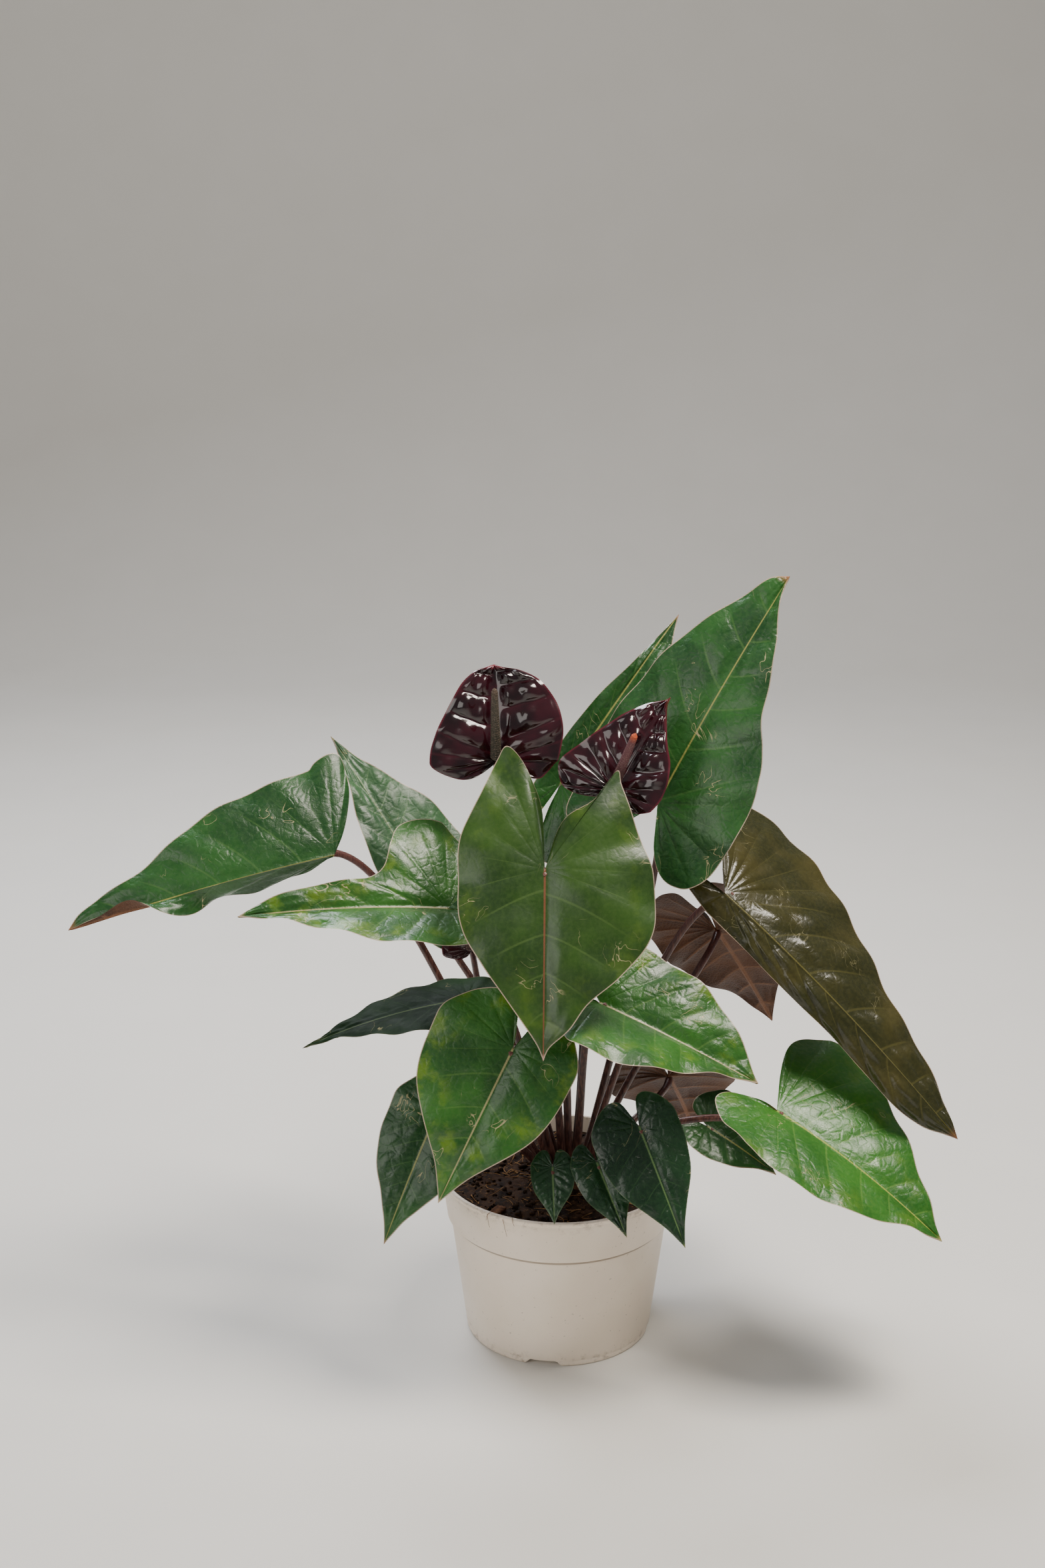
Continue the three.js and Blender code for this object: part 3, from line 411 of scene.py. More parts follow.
def make_blade(name, row, outline, look, materials, nodes):
    """A closed sheet on the blade's surface: an upper skin and an underside that meet at the margin."""
    way = blade_frame(row)
    steps, across = look["steps"], look["across"]
    rows = edge_rows(row, outline, way, steps, look["spacing"] * row["width"])
    seed = sum(ord(letter) for letter in name) % 17
    bm = bmesh.new()
    keys = ("across", "vein", "along", "rib", "rim")
    layer = {key: bm.verts.layers.float.new(key) for key in keys}
    flat_layer = bm.verts.layers.float_vector.new("flat")
    for hand in (1, -1):
        made = bmesh.ops.create_grid(bm, x_segments=steps, y_segments=2 * across, size=1.0)
        for vert in made["verts"]:
            i = round((vert.co.x + 1) / 2 * steps)
            t = abs(vert.co.y) ** CROWDING
            which = 1 if vert.co.y > 0 else 0
            item = rows[i]
            end = item["ends"][which]
            foot = item["foot"]
            arch = 1 + 0.3 * ease(0, 0.15, foot / way["length"])
            u = foot + (end[0] - foot) * t ** arch
            v = end[1] * t
            rim = (1 - t) * math.dist(end, (foot, 0))
            taper = 1 - 0.75 * max(u, 0) / way["length"]
            spot = dict(t=t, veins=item["veins"][which], flat=(u, v), rib=abs(v), seed=seed,
                        run=item["run"][which], base=ease(-0.05, 0.15, foot / way["length"]),
                        inner=ease(0.8, 0.93, i / steps) * (1 - ease(0.95, 1, i / steps)))
            lift = blade_relief(look, spot)
            ends = min(1, i / TIP_ROWS, (steps - i) / TIP_ROWS)
            lift *= min(1, i / RELIEF_ROWS)
            thick = look["thickness"] / 2 * (1 - t ** 6) * ends
            ridge = math.exp(-((v / look["rib"]) ** 2)) * taper * ends * ease(-2, 2, u)
            vein = math.exp(-((math.sin(math.pi * spot["veins"]) / 0.16) ** 2))
            vein *= ease(0.0, 0.1, t) * (1 - ease(0.8, 0.95, t)) * ends
            if hand > 0:
                lift += thick + look["ridge"] * ridge
            else:
                lift -= thick + look["keel"] * ridge + look["under_vein"] * vein
            vert.co = blade_point(row, way, u, v, lift)
            vert[layer["across"]] = t
            vert[layer["vein"]] = spot["veins"]
            vert[layer["along"]] = u / way["length"]
            vert[layer["rib"]] = abs(v)
            vert[layer["rim"]] = rim
            vert[flat_layer] = (u, v + PATTERN_STEP * seed, 0)
        faces = list({face for vert in made["verts"] for face in vert.link_faces})
        if hand > 0:
            bmesh.ops.reverse_faces(bm, faces=faces)
        for face in faces:
            face.material_index = 0 if hand > 0 else 1
    bmesh.ops.remove_doubles(bm, verts=bm.verts, dist=0.002)
    for edge in bm.edges:
        ends = [vert[layer["across"]] for vert in edge.verts]
        edge.smooth = min(ends) < 0.999
    return make_piece(name, bm, materials, nodes)


# ---- Stems ----
JOINT_LENGTH = 11
FLARE_LENGTH = 7
ROOT_DEPTH = 1.5
STEM_SIDES, STEM_STEPS = 18, 54


def crown_point(azimuth, share):
    """A point of the crown's surface and the way out from it."""
    radius = share * CROWN_RADIUS
    z = CROWN_HALF_HEIGHT * math.sqrt(1 - share ** 2)
    x = radius * math.cos(math.radians(azimuth))
    y = radius * math.sin(math.radians(azimuth))
    normal = Vector((x / CROWN_RADIUS ** 2, y / CROWN_RADIUS ** 2, z / CROWN_HALF_HEIGHT ** 2))
    return Vector((CROWN_X + x, y, CROWN_Z + z)), normal.normalized()


def bezier(points, t):
    """Point and way on a cubic curve."""
    a, b, c, d = points
    k = 1 - t
    point = a * k ** 3 + b * 3 * k * k * t + c * 3 * k * t * t + d * t ** 3
    way = (b - a) * k * k + (c - b) * 2 * k * t + (d - c) * t * t
    return point, way.normalized()


def stem_curve(row, radius, thickness):
    """The four points of a stem's curve, from the crown to just under its blade."""
    way = blade_frame(row)
    foot, normal = crown_point(*row["root"])
    start = foot + normal * GAP
    lean = math.radians(row.get("lean", 30))
    end_way = way["up"] * math.cos(lean) + way["along"] * math.sin(lean)
    low = thickness / 2 + GAP + radius * math.sin(lean)
    end = way["at"] + way["along"] * 3 - way["up"] * low + way["side"] * row.get("shift", 0)
    span = (end - start).length
    return [start, start + normal * span * row["rise"], end - end_way * span * row["reach"], end]


def wrap_tube(bm, path, radius, sides, steps, layer):
    """Wraps a grid into a closed tube round path(t), whose radius(t, angle) may vary round it."""
    made = bmesh.ops.create_grid(bm, x_segments=steps, y_segments=sides, size=1.0)
    rings = []
    across = Vector((0.3, 1, 0.1))
    for i in range(steps + 1):
        t = min(max((i - 2) / (steps - 4), 0), 1)
        point, way = path(t)
        across = (across - way * across.dot(way)).normalized()
        cap = (i - 2) if i < 2 else max(0, i - steps + 2)
        width = {0: 1.0, 1: 0.72, 2: 0.0}[abs(cap)]
        rings.append((t, point, way, across, way.cross(across), cap * 0.42, width))
    for vert in made["verts"]:
        t, point, way, one, other, cap, width = rings[round((vert.co.x + 1) / 2 * steps)]
        angle = math.pi * vert.co.y
        r = radius(t, angle)
        vert.co = point + way * cap * r + (one * math.cos(angle) + other * math.sin(angle)) * r * width
        vert[layer] = t
    bmesh.ops.remove_doubles(bm, verts=made["verts"], dist=0.0005)


def make_stem(name, row, radius, thickness, material, nodes):
    """A petiole or peduncle: flared at the crown, with the swollen joint under the blade."""
    curve = stem_curve(row, radius, thickness)
    start, end = curve[0], curve[3]
    foot_way = (curve[1] - start).normalized()
    end_way = (end - curve[2]).normalized()
    curve = [start - foot_way * ROOT_DEPTH, curve[1], curve[2], end + end_way * 0.6]
    length = (end - start).length * 1.08

    def girth(t, angle):
        run = t * length
        swell = math.exp(-(((length - run - JOINT_LENGTH * 0.55) / (JOINT_LENGTH * 0.5)) ** 2))
        flare = math.exp(-run / FLARE_LENGTH)
        groove = 0.05 * math.cos(5 * angle + 4 * t)
        return radius * (1.1 - 0.12 * t + 0.2 * swell + 0.45 * flare + groove)

    bm = bmesh.new()
    layer = bm.verts.layers.float.new("along")
    wrap_tube(bm, lambda t: bezier(curve, t), girth, STEM_SIDES, STEM_STEPS, layer)
    bmesh.ops.recalc_face_normals(bm, faces=bm.faces)
    return make_piece(name, bm, [material], nodes)


# ---- Flower spikes ----
FLOWER_PITCH = 1.5
FLOWER_TURNS = 13  # spiral rows round the spike
FLOWER_HEIGHT = 0.26
SPIKE_SIDES = 78
SPIKE_STEP = 0.25


def make_spadix(name, row, material):
    """The spike: a tapering rod set with spiral rows of tiny close-packed flowers."""
    way = blade_frame(row)
    length, lean = row["spadix"][0], math.radians(row["spadix"][1])
    out = way["along"] * math.cos(lean) + way["up"] * math.sin(lean)
    fold = math.radians(max(row["left"], row["right"]))
    low = SPATHE_THICKNESS / 2 + GAP + SPADIX_RADIUS * math.cos(lean) + 0.3 * SPADIX_RADIUS * math.tan(fold)
    start = way["at"] + way["along"] * 3 + way["up"] * low

    def girth(t, angle):
        dome = max(0, (t - 0.93) / 0.07)
        body = SPADIX_RADIUS * (1 - (1 - SPADIX_TAPER) * t) * math.sqrt(1 - 0.9 * dome * dome)
        z = t * length / FLOWER_PITCH * math.pi
        turn = FLOWER_TURNS * angle / 2
        bumps = math.cos(turn + z) * math.cos(turn - z)
        return body + FLOWER_HEIGHT * bumps * (1 - 0.3 * t)

    bm = bmesh.new()
    layer = bm.verts.layers.float.new("along")
    steps = int(length / SPIKE_STEP)
    wrap_tube(bm, lambda t: (start + out * length * t, out), girth, SPIKE_SIDES, steps, layer)
    bmesh.ops.recalc_face_normals(bm, faces=bm.faces)
    return make_piece(name, bm, [material], ["spadix_" + row["name"]])


# ---- Pot ----
STEP_Z = POT_HEIGHT - COLLAR_HEIGHT
COLLAR_FOOT = RIM_RADIUS - COLLAR_TAPER
NECK = COLLAR_FOOT - STEP_IN
POT_STEPS = 288
FOOT_WIDTH = 8  # ring that the pot stands on
FLOOR_LIFT = 1.2
NOTCH_FADE = 2.2


def spin_profile(profile, steps):
    """A closed turned body from radius and height pairs."""
    bm = bmesh.new()
    verts = [bm.verts.new((r, 0, z)) for r, z in profile]
    edges = [bm.edges.new(pair) for pair in zip(verts, verts[1:])]
    bmesh.ops.spin(bm, geom=verts + edges, cent=(0, 0, 0), axis=(0, 0, 1), dvec=(0, 0, 0),
                   angle=2 * math.pi, steps=steps, use_merge=True, use_duplicate=False)
    bmesh.ops.remove_doubles(bm, verts=bm.verts, dist=0.01)
    bmesh.ops.recalc_face_normals(bm, faces=bm.faces)
    return bm


def between(a, b, count):
    """Points from a towards b, without b."""
    return [(a[0] + (b[0] - a[0]) * k / count, a[1] + (b[1] - a[1]) * k / count) for k in range(count)]


def arc(centre, radius, start, end, count):
    """Points of an arc, in degrees."""
    angles = [math.radians(start + (end - start) * k / count) for k in range(count + 1)]
    return [(centre[0] + radius * math.cos(a), centre[1] + radius * math.sin(a)) for a in angles]


def make_pot(material):
    """Thin moulded pot: slightly conical, a deeper collar with a rolled lip, and feet between notches."""
    lip = RIM_RADIUS - WALL / 2 - 0.3
    foot = BASE_RADIUS - FOOT_WIDTH
    profile = between((0, FLOOR_LIFT), (foot - 1, FLOOR_LIFT), 4)
    profile += between((foot - 1, FLOOR_LIFT), (foot, 0), 2)
    profile += between((foot, 0), (BASE_RADIUS - 1.4, 0), 5)
    profile += arc((BASE_RADIUS - 1.4, 1.4), 1.4, -90, 0, 5)
    profile += between((BASE_RADIUS + 0.1, 3.2), (BASE_RADIUS + 0.1, 3.4), 1)
    profile += between((BASE_RADIUS - 0.15, 3.6), (BASE_RADIUS + 0.2, 4.4), 2)
    profile += between((BASE_RADIUS + 0.2, 4.4), (NECK - 0.2, STEP_Z - 1.2), 26)
    profile += between((NECK - 0.2, STEP_Z - 1.2), (NECK - 0.7, STEP_Z - 0.6), 2)
    profile += between((NECK - 0.7, STEP_Z - 0.6), (NECK - 0.3, STEP_Z + 0.6), 2)
    profile += between((NECK - 0.3, STEP_Z + 0.6), (COLLAR_FOOT - 1.0, STEP_Z + 0.2), 3)
    profile += arc((COLLAR_FOOT - 0.7, STEP_Z + 1.0), 0.8, -80, 0, 4)
    profile += between((COLLAR_FOOT + 0.15, STEP_Z + 2), (RIM_RADIUS - 0.9, POT_HEIGHT - 4.2), 10)
    profile += arc((RIM_RADIUS - 0.4, POT_HEIGHT - 3.6), 0.6, 200, 140, 3)
    profile += arc((RIM_RADIUS - 1.05, POT_HEIGHT - 1.05), 1.05, 0, 90, 6)
    profile += arc((lip - 0.6, POT_HEIGHT - 0.6), 0.6, 90, 180, 4)
    profile += between((RIM_RADIUS - WALL - 1, POT_HEIGHT - 2), (COLLAR_FOOT - WALL, STEP_Z + 1.5), 8)
    profile += between((NECK - WALL, STEP_Z + 0.2), (BASE_RADIUS - WALL, FLOOR_THICKNESS + 2), 6)
    profile += between((BASE_RADIUS - WALL - 1, FLOOR_THICKNESS), (0, FLOOR_THICKNESS), 4)
    profile += [(0, FLOOR_THICKNESS)]
    bm = spin_profile(profile, POT_STEPS)
    reach = BASE_RADIUS - NOTCH_REACH
    for vert in bm.verts:
        r = math.hypot(vert.co.x, vert.co.y)
        if r < reach - NOTCH_FADE or vert.co.z >= NOTCH_HEIGHT or r < 1:
            continue
        azimuth = math.degrees(math.atan2(vert.co.y, vert.co.x)) - NOTCH_ANGLE
        step = 360 / NOTCH_COUNT
        off = abs((azimuth + step / 2) % step - step / 2)
        side = math.radians(off) * r
        high = NOTCH_HEIGHT * (1 - ease(NOTCH_WIDTH / 2 - 4.2, NOTCH_WIDTH / 2, side))
        high *= ease(reach - NOTCH_FADE, reach, r)
        squeeze = 0.12 * vert.co.z / NOTCH_HEIGHT
        if r < BASE_RADIUS - WALL and vert.co.z >= FLOOR_THICKNESS:
            continue
        vert.co.z = max(vert.co.z, high * (0.88 + squeeze))
    return make_piece("pot_shell", bm, [material], ["pot"])


# ---- Soil ----
CLOD_SIZE = 7
GRAIN_SIZE = 1.7
SOIL_RINGS, SOIL_STEPS = 62, 190
CRUMB_COUNT = 620
CRUMB_REACH = 70
CRUMB_SIZES = (0.6, 0.8, 1.0, 1.3, 1.9, 2.5)
FIBRE_COUNT = 150
FIBRE_REACH = 68
FIBRE_LIMIT = 69  # no fibre on the peat passes this radius
# fibres over the lip: azimuth in degrees, drop below the rim, sideways sway
HANGING_FIBRES = ((232, 9, 3), (236, 5, -2), (240, 12, 4), (246, 4, 2))


def soil_height(x, y):
    """The soil's height in the frame."""
    r = math.hypot(x, y) / RIM_RADIUS
    lumps = math.sin(0.21 * x + 1) * math.cos(0.17 * y) + 0.6 * math.sin(0.33 * y - 0.13 * x)
    return SOIL_LEVEL + SOIL_MOUND * (1 - r * r) + 0.5 * lumps


def wall_inside(z):
    """Inner radius of the pot's collar at a height."""
    run = (z - STEP_Z - 1.5) / (POT_HEIGHT - 1 - STEP_Z - 1.5)
    foot = COLLAR_FOOT - WALL
    return foot + (RIM_RADIUS - WALL - 1 - foot) * run


def rough_soil(x, y):
    """The soil's height with its clods and pits."""
    place = Vector((x, y, 0))
    clods = noise.fractal(place / CLOD_SIZE, 0.8, 2.1, 4)
    grain = noise.noise(place / GRAIN_SIZE)
    return soil_height(x, y) + 1.1 * clods + 0.35 * grain + 0.4


def make_soil(material):
    """The peat: a crumbly top that meets the wall, and a plain body below it."""
    edge = wall_inside(SOIL_LEVEL) - 0.1
    low = FLOOR_THICKNESS + GAP
    inner = NOTCH_REACH + 1 + GAP
    profile = [(edge * k / SOIL_RINGS, SOIL_LEVEL) for k in range(SOIL_RINGS + 1)]
    profile += [(edge - 0.4, SOIL_LEVEL - 4), (NECK - WALL - 1, STEP_Z + 2), (NECK - WALL - 1, STEP_Z - 1)]
    profile += [(BASE_RADIUS - inner, NOTCH_HEIGHT + 2), (BASE_RADIUS - inner, low), (0, low)]
    bm = spin_profile(profile, SOIL_STEPS)
    for vert in bm.verts:
        if abs(vert.co.z - SOIL_LEVEL) < 0.01:
            vert.co.z = rough_soil(vert.co.x, vert.co.y)
    return make_piece("peat_bed", bm, [material], ["soil"])


def make_crumbs(material):
    """Loose crumbs of peat on the bed."""
    dice = random.Random(11)
    bm = bmesh.new()
    for _ in range(CRUMB_COUNT):
        r = CRUMB_REACH * math.sqrt(dice.random())
        a = dice.uniform(0, 2 * math.pi)
        x, y = r * math.cos(a), r * math.sin(a)
        size = dice.choice(CRUMB_SIZES)
        made = bmesh.ops.create_icosphere(bm, subdivisions=1, radius=size)
        stretch = (dice.uniform(0.7, 1.5), dice.uniform(0.6, 1.1), dice.uniform(0.5, 0.9))
        for vert in made["verts"]:
            vert.co *= dice.uniform(0.75, 1.2)
        bmesh.ops.scale(bm, vec=stretch, verts=made["verts"])
        turn = Matrix.Rotation(dice.uniform(0, 6.28), 4, dice.choice(("X", "Y", "Z")))
        bmesh.ops.rotate(bm, cent=(0, 0, 0), matrix=turn, verts=made["verts"])
        high = rough_soil(x, y) + 0.3 * size
        bmesh.ops.translate(bm, vec=(x, y, high), verts=made["verts"])
    return make_piece("peat_crumbs", bm, [material], [])


def make_fibres(material):
    """Fine roots and fibres: most lie on the peat, and a few hang over the lip at the front left."""
    dice = random.Random(5)
    bm = bmesh.new()
    layer = bm.verts.layers.float.new("along")
    for _ in range(FIBRE_COUNT):
        r = FIBRE_REACH * math.sqrt(dice.random())
        a = dice.uniform(0, 2 * math.pi)
        x, y = r * math.cos(a), r * math.sin(a)
        length = dice.uniform(5, 17)
        turn = dice.uniform(0, 2 * math.pi)
        bend = dice.uniform(-0.12, 0.12)
        points = []
        for i in range(4):
            run = length * (i / 3 - 0.5)
            px = x + run * math.cos(turn + bend * run)
            py = y + run * math.sin(turn + bend * run)
            reach = math.hypot(px, py)
            if reach > FIBRE_LIMIT:
                px, py = px * FIBRE_LIMIT / reach, py * FIBRE_LIMIT / reach
            points.append(Vector((px, py, rough_soil(px, py) + dice.uniform(0.2, 2.0))))
        wide = dice.uniform(0.2, 0.42)
        wrap_tube(bm, lambda t: bezier(points, t), lambda t, angle: wide * (1 - 0.5 * t), 5, 12, layer)
    lip = POT_HEIGHT + 0.3
    for azimuth, drop, sway in HANGING_FIBRES:
        a = math.radians(azimuth)
        out = Vector((math.cos(a), math.sin(a), 0))
        side = Vector((-math.sin(a), math.cos(a), 0))
        points = [
            out * 66 + Vector((0, 0, SOIL_LEVEL + 2)), out * 71 + Vector((0, 0, lip + 3)),
            out * 76.5 + side * sway + Vector((0, 0, lip + 1)),
            out * (74.8 - drop * 0.05) + side * sway * 1.5 + Vector((0, 0, POT_HEIGHT - drop)),
        ]
        wrap_tube(bm, lambda t: bezier(points, t), lambda t, angle: 0.26 * (1 - 0.6 * t), 5, 20, layer)
    bmesh.ops.recalc_face_normals(bm, faces=bm.faces)
    return make_piece("root_fibres", bm, [material], [])


def make_chips(material):
    """Split bark chips: flat flakes with broken edges."""
    for i, chip in enumerate(CHIPS):
        bm = bmesh.new()
        made = bmesh.ops.create_cube(bm, size=1.0)
        bmesh.ops.scale(bm, vec=chip["size"], verts=made["verts"])
        bmesh.ops.subdivide_edges(bm, edges=bm.edges, cuts=9, use_grid_fill=True)
        half = [size / 2 for size in chip["size"]]
        for vert in bm.verts:
            x, y, z = vert.co
            edge = max(abs(x) / half[0], abs(y) / half[1])
            rough = noise.fractal(Vector((x, y * 2.2, z + 7 * i)) / 3.2, 0.9, 2.0, 3)
            vert.co.z *= 1 - 0.45 * ease(0.6, 1, edge)
            vert.co.z += 0.35 * rough
            shrink = 1 - 0.12 * abs(rough) - 0.1 * ease(0.5, 1, abs(x) / half[0]) * abs(y) / half[1]
            vert.co.x *= shrink
            vert.co.y *= shrink
        turn = Matrix.Rotation(math.radians(chip["turn"]), 4, "Z")
        bmesh.ops.rotate(bm, cent=(0, 0, 0), matrix=turn, verts=bm.verts)
        low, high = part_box(f"bark_chip_{i + 1}")
        middle = (low + high) / 2 / MM
        bmesh.ops.translate(bm, vec=middle, verts=bm.verts)
        make_piece(f"bark_flake_{i + 1}", bm, [material], [f"bark_chip_{i + 1}"])


def make_crown(material):
    """The crown: a knobbly rootstock, ringed with old leaf scars."""
    bm = bmesh.new()
    bmesh.ops.create_uvsphere(bm, u_segments=120, v_segments=60, radius=1)
    for vert in bm.verts:
        way = vert.co.normalized()
        azimuth = math.atan2(way.y, way.x)
        knob = noise.fractal(way * 3.1, 0.9, 2.0, 4)
        rings = math.sin(way.z * 26 + 2 * math.sin(azimuth * 3))
        swell = 1 + 0.07 * knob + 0.012 * rings
        vert.co = Vector((
            CROWN_X + way.x * CROWN_RADIUS * swell, way.y * CROWN_RADIUS * swell,
            CROWN_Z + way.z * CROWN_HALF_HEIGHT * (swell - 0.02),
        ))
    return make_piece("rootstock", bm, [material], ["crown"])


def make_sheaths(material):
    """Dry papery scales that clasp the foot of each stem."""
    dice = random.Random(3)
    bm = bmesh.new()
    for row in LEAVES + FLOWERS:
        foot, normal = crown_point(*row["root"])
        one = Vector((0, 0, 1)).cross(normal)
        one = one.normalized() if one.length > 0.1 else Vector((1, 0, 0))
        other = normal.cross(one)
        height = dice.uniform(9, 17)
        start = dice.uniform(0, 2 * math.pi)
        made = bmesh.ops.create_grid(bm, x_segments=12, y_segments=14, size=1.0)
        for vert in made["verts"]:
            s = (vert.co.x + 1) / 2
            t = vert.co.y
            open_way = 1.9 * (1 - s ** 2.2) + 0.12
            angle = start + t * open_way
            ragged = 1 + 0.12 * noise.noise(Vector((t * 3, height, 0)))
            radius = 3.1 + 1.3 * (1 - s) ** 2 + 0.9 * s * s
            out = one * math.cos(angle) + other * math.sin(angle)
            vert.co = foot - normal * 1.5 + normal * s * height * ragged + out * radius
        bmesh.ops.solidify(bm, geom=made["verts"] + list(
            {face for vert in made["verts"] for face in vert.link_faces}), thickness=0.3)
    bmesh.ops.recalc_face_normals(bm, faces=bm.faces)
    return make_piece("stem_sheaths", bm, [material], [])


# ---- Materials. SMOOTH makes a Map Range node step gently from its low to its high value. ----
SMOOTH = dict(interpolation_type="SMOOTHSTEP")


def tint(tree, colour, pattern, steps, code):
    """Lays a colour over another where a pattern rises through steps: from, to and both amounts."""
    amount = node(tree, "MapRange", [pattern, *steps], **SMOOTH)
    return node(tree, "MixRGB", [amount, colour, srgb(code)])


def leaf_skin(name, deep, fresh, line, rib, tip, roughness, patch=0.0, scar=0.5, crinkle=0.25,
              coat=0.15, shine=0.5, margin="#c2ab98"):
    """Waxy upper skin of a living leaf: satin green, faint sunk veins, a thin pale margin, pillows
    between the veinlets that break the highlights, and a few dry scratches."""
    made, tree = new_material(name, IOR=1.45, Coat_Weight=coat, Coat_Roughness=0.2,
                              Specular_IOR_Level=shine)
    place = node(tree, "TexCoord", out="Object")
    flat = node(tree, "Attribute", out="Vector", attribute_name="flat")
    flat = node(tree, "VectorMath", {0: flat, 3: MM}, operation="SCALE")
    along, across, veins, midrib, rim = [
        node(tree, "Attribute", out="Fac", attribute_name=key)
        for key in ("along", "across", "vein", "rib", "rim")
    ]
    # broad clouds of tone, 34 mm, and a fine mottle, 2.4 mm
    clouds = node(tree, "TexNoise", [place, 0.0, 1000 / 34, 3.0, 0.5])
    colour = tint(tree, srgb(deep), clouds, (0.38, 0.66), fresh)
    mottle = node(tree, "TexNoise", [flat, 0.0, 1000 / 2.4, 2.0, 0.5])
    colour = tint(tree, colour, mottle, (0.35, 0.7, 0.0, 0.16), line)
    # yellowing patches, 15 mm, within 22 mm of the margin
    cloud = node(tree, "TexNoise", [flat, 0.0, 1000 / 15, 4.0, 0.6])
    amount = node(tree, "MapRange", [cloud, 0.46, 0.66, 0.0, patch], **SMOOTH)
    near = node(tree, "MapRange", [rim, 8.0, 22.0, 1.0, 0.0], **SMOOTH)
    amount = node(tree, "Math", [amount, near], operation="MULTIPLY")
    colour = node(tree, "MixRGB", [amount, colour, srgb("#7d9a1c")])
    # sunk side veins
    gap = node(tree, "Math", [veins, 0.5], operation="PINGPONG")
    thin = node(tree, "MapRange", [gap, 0.012, 0.04, 1.0, 0.0], **SMOOTH)
    fade = node(tree, "MapRange", [across, 0.5, 0.95, 0.45, 0.0], **SMOOTH)
    base = node(tree, "MapRange", [along, -0.1, 0.15, 0.45, 1.0], **SMOOTH)
    thin = node(tree, "Math", [thin, fade], operation="MULTIPLY")
    thin = node(tree, "Math", [thin, base], operation="MULTIPLY")
    colour = node(tree, "MixRGB", [thin, colour, srgb(line)])
    # midrib, about 1 mm wide at the petiole and thinner towards the tip
    taper = node(tree, "MapRange", [along, 0.0, 1.0, 1.0, 0.45])
    width = node(tree, "Math", [midrib, taper], operation="DIVIDE")
    middle = node(tree, "MapRange", [width, 0.3, 0.85, 0.85, 0.0], **SMOOTH)
    above = node(tree, "MapRange", [along, -0.02, 0.01], **SMOOTH)
    middle = node(tree, "Math", [middle, above], operation="MULTIPLY")
    colour = node(tree, "MixRGB", [middle, colour, srgb(rib)])
    # horny margin and coloured tip
    colour = tint(tree, colour, rim, (0.25, 0.7, 0.8, 0.0), margin)
    colour = tint(tree, colour, along, (0.955, 1.0, 0.0, 0.85), tip)
    # dry scratches, long thin loops kept only here and there
    loops = node(tree, "TexNoise", {"Vector": flat, "Scale": 1000 / 26, "Detail": 2.0, "Distortion": 2.2})
    loops = node(tree, "Math", [loops, 0.5], operation="SUBTRACT")
    loops = node(tree, "Math", [loops], operation="ABSOLUTE")
    loops = node(tree, "MapRange", [loops, 0.002, 0.008, 1.0, 0.0], **SMOOTH)
    kept = node(tree, "TexNoise", [flat, 0.0, 1000 / 30, 1.0, 0.5])
    kept = node(tree, "MapRange", [kept, 0.58, 0.66, 0.0, scar], **SMOOTH)
    marks = node(tree, "Math", [loops, kept], operation="MULTIPLY")
    colour = node(tree, "MixRGB", [marks, colour, srgb("#b0a67c")])
    # pillows between veinlets, 5.5 mm, under a finer net, 2 mm
    pillows = node(tree, "TexVoronoi", {"Vector": flat, "Scale": 1000 / 5.5}, feature="DISTANCE_TO_EDGE",
                   out="Distance")
    pillows = node(tree, "MapRange", [pillows, 0.0, 0.22], **SMOOTH)
    net = node(tree, "TexVoronoi", {"Vector": flat, "Scale": 1000 / 2}, feature="DISTANCE_TO_EDGE",
               out="Distance")
    net = node(tree, "MapRange", [net, 0.0, 0.16], **SMOOTH)
    bump = node(tree, "Bump", {"Strength": crinkle / 2, "Distance": 0.0003, "Height": net})
    bump = node(tree, "Bump", {"Strength": crinkle, "Distance": 0.0005, "Height": pillows,
                               "Normal": bump})
    worn = node(tree, "TexNoise", [flat, 0.0, 1000 / 11, 3.0, 0.5])
    worn = node(tree, "MapRange", [worn, 0.3, 0.7, roughness - 0.04, roughness + 0.08], **SMOOTH)
    dry = node(tree, "Math", [marks, 0.3], operation="MULTIPLY")
    worn = node(tree, "Math", [worn, dry], operation="ADD")
    return plug(made, Base_Color=colour, Roughness=worn, Normal=bump)


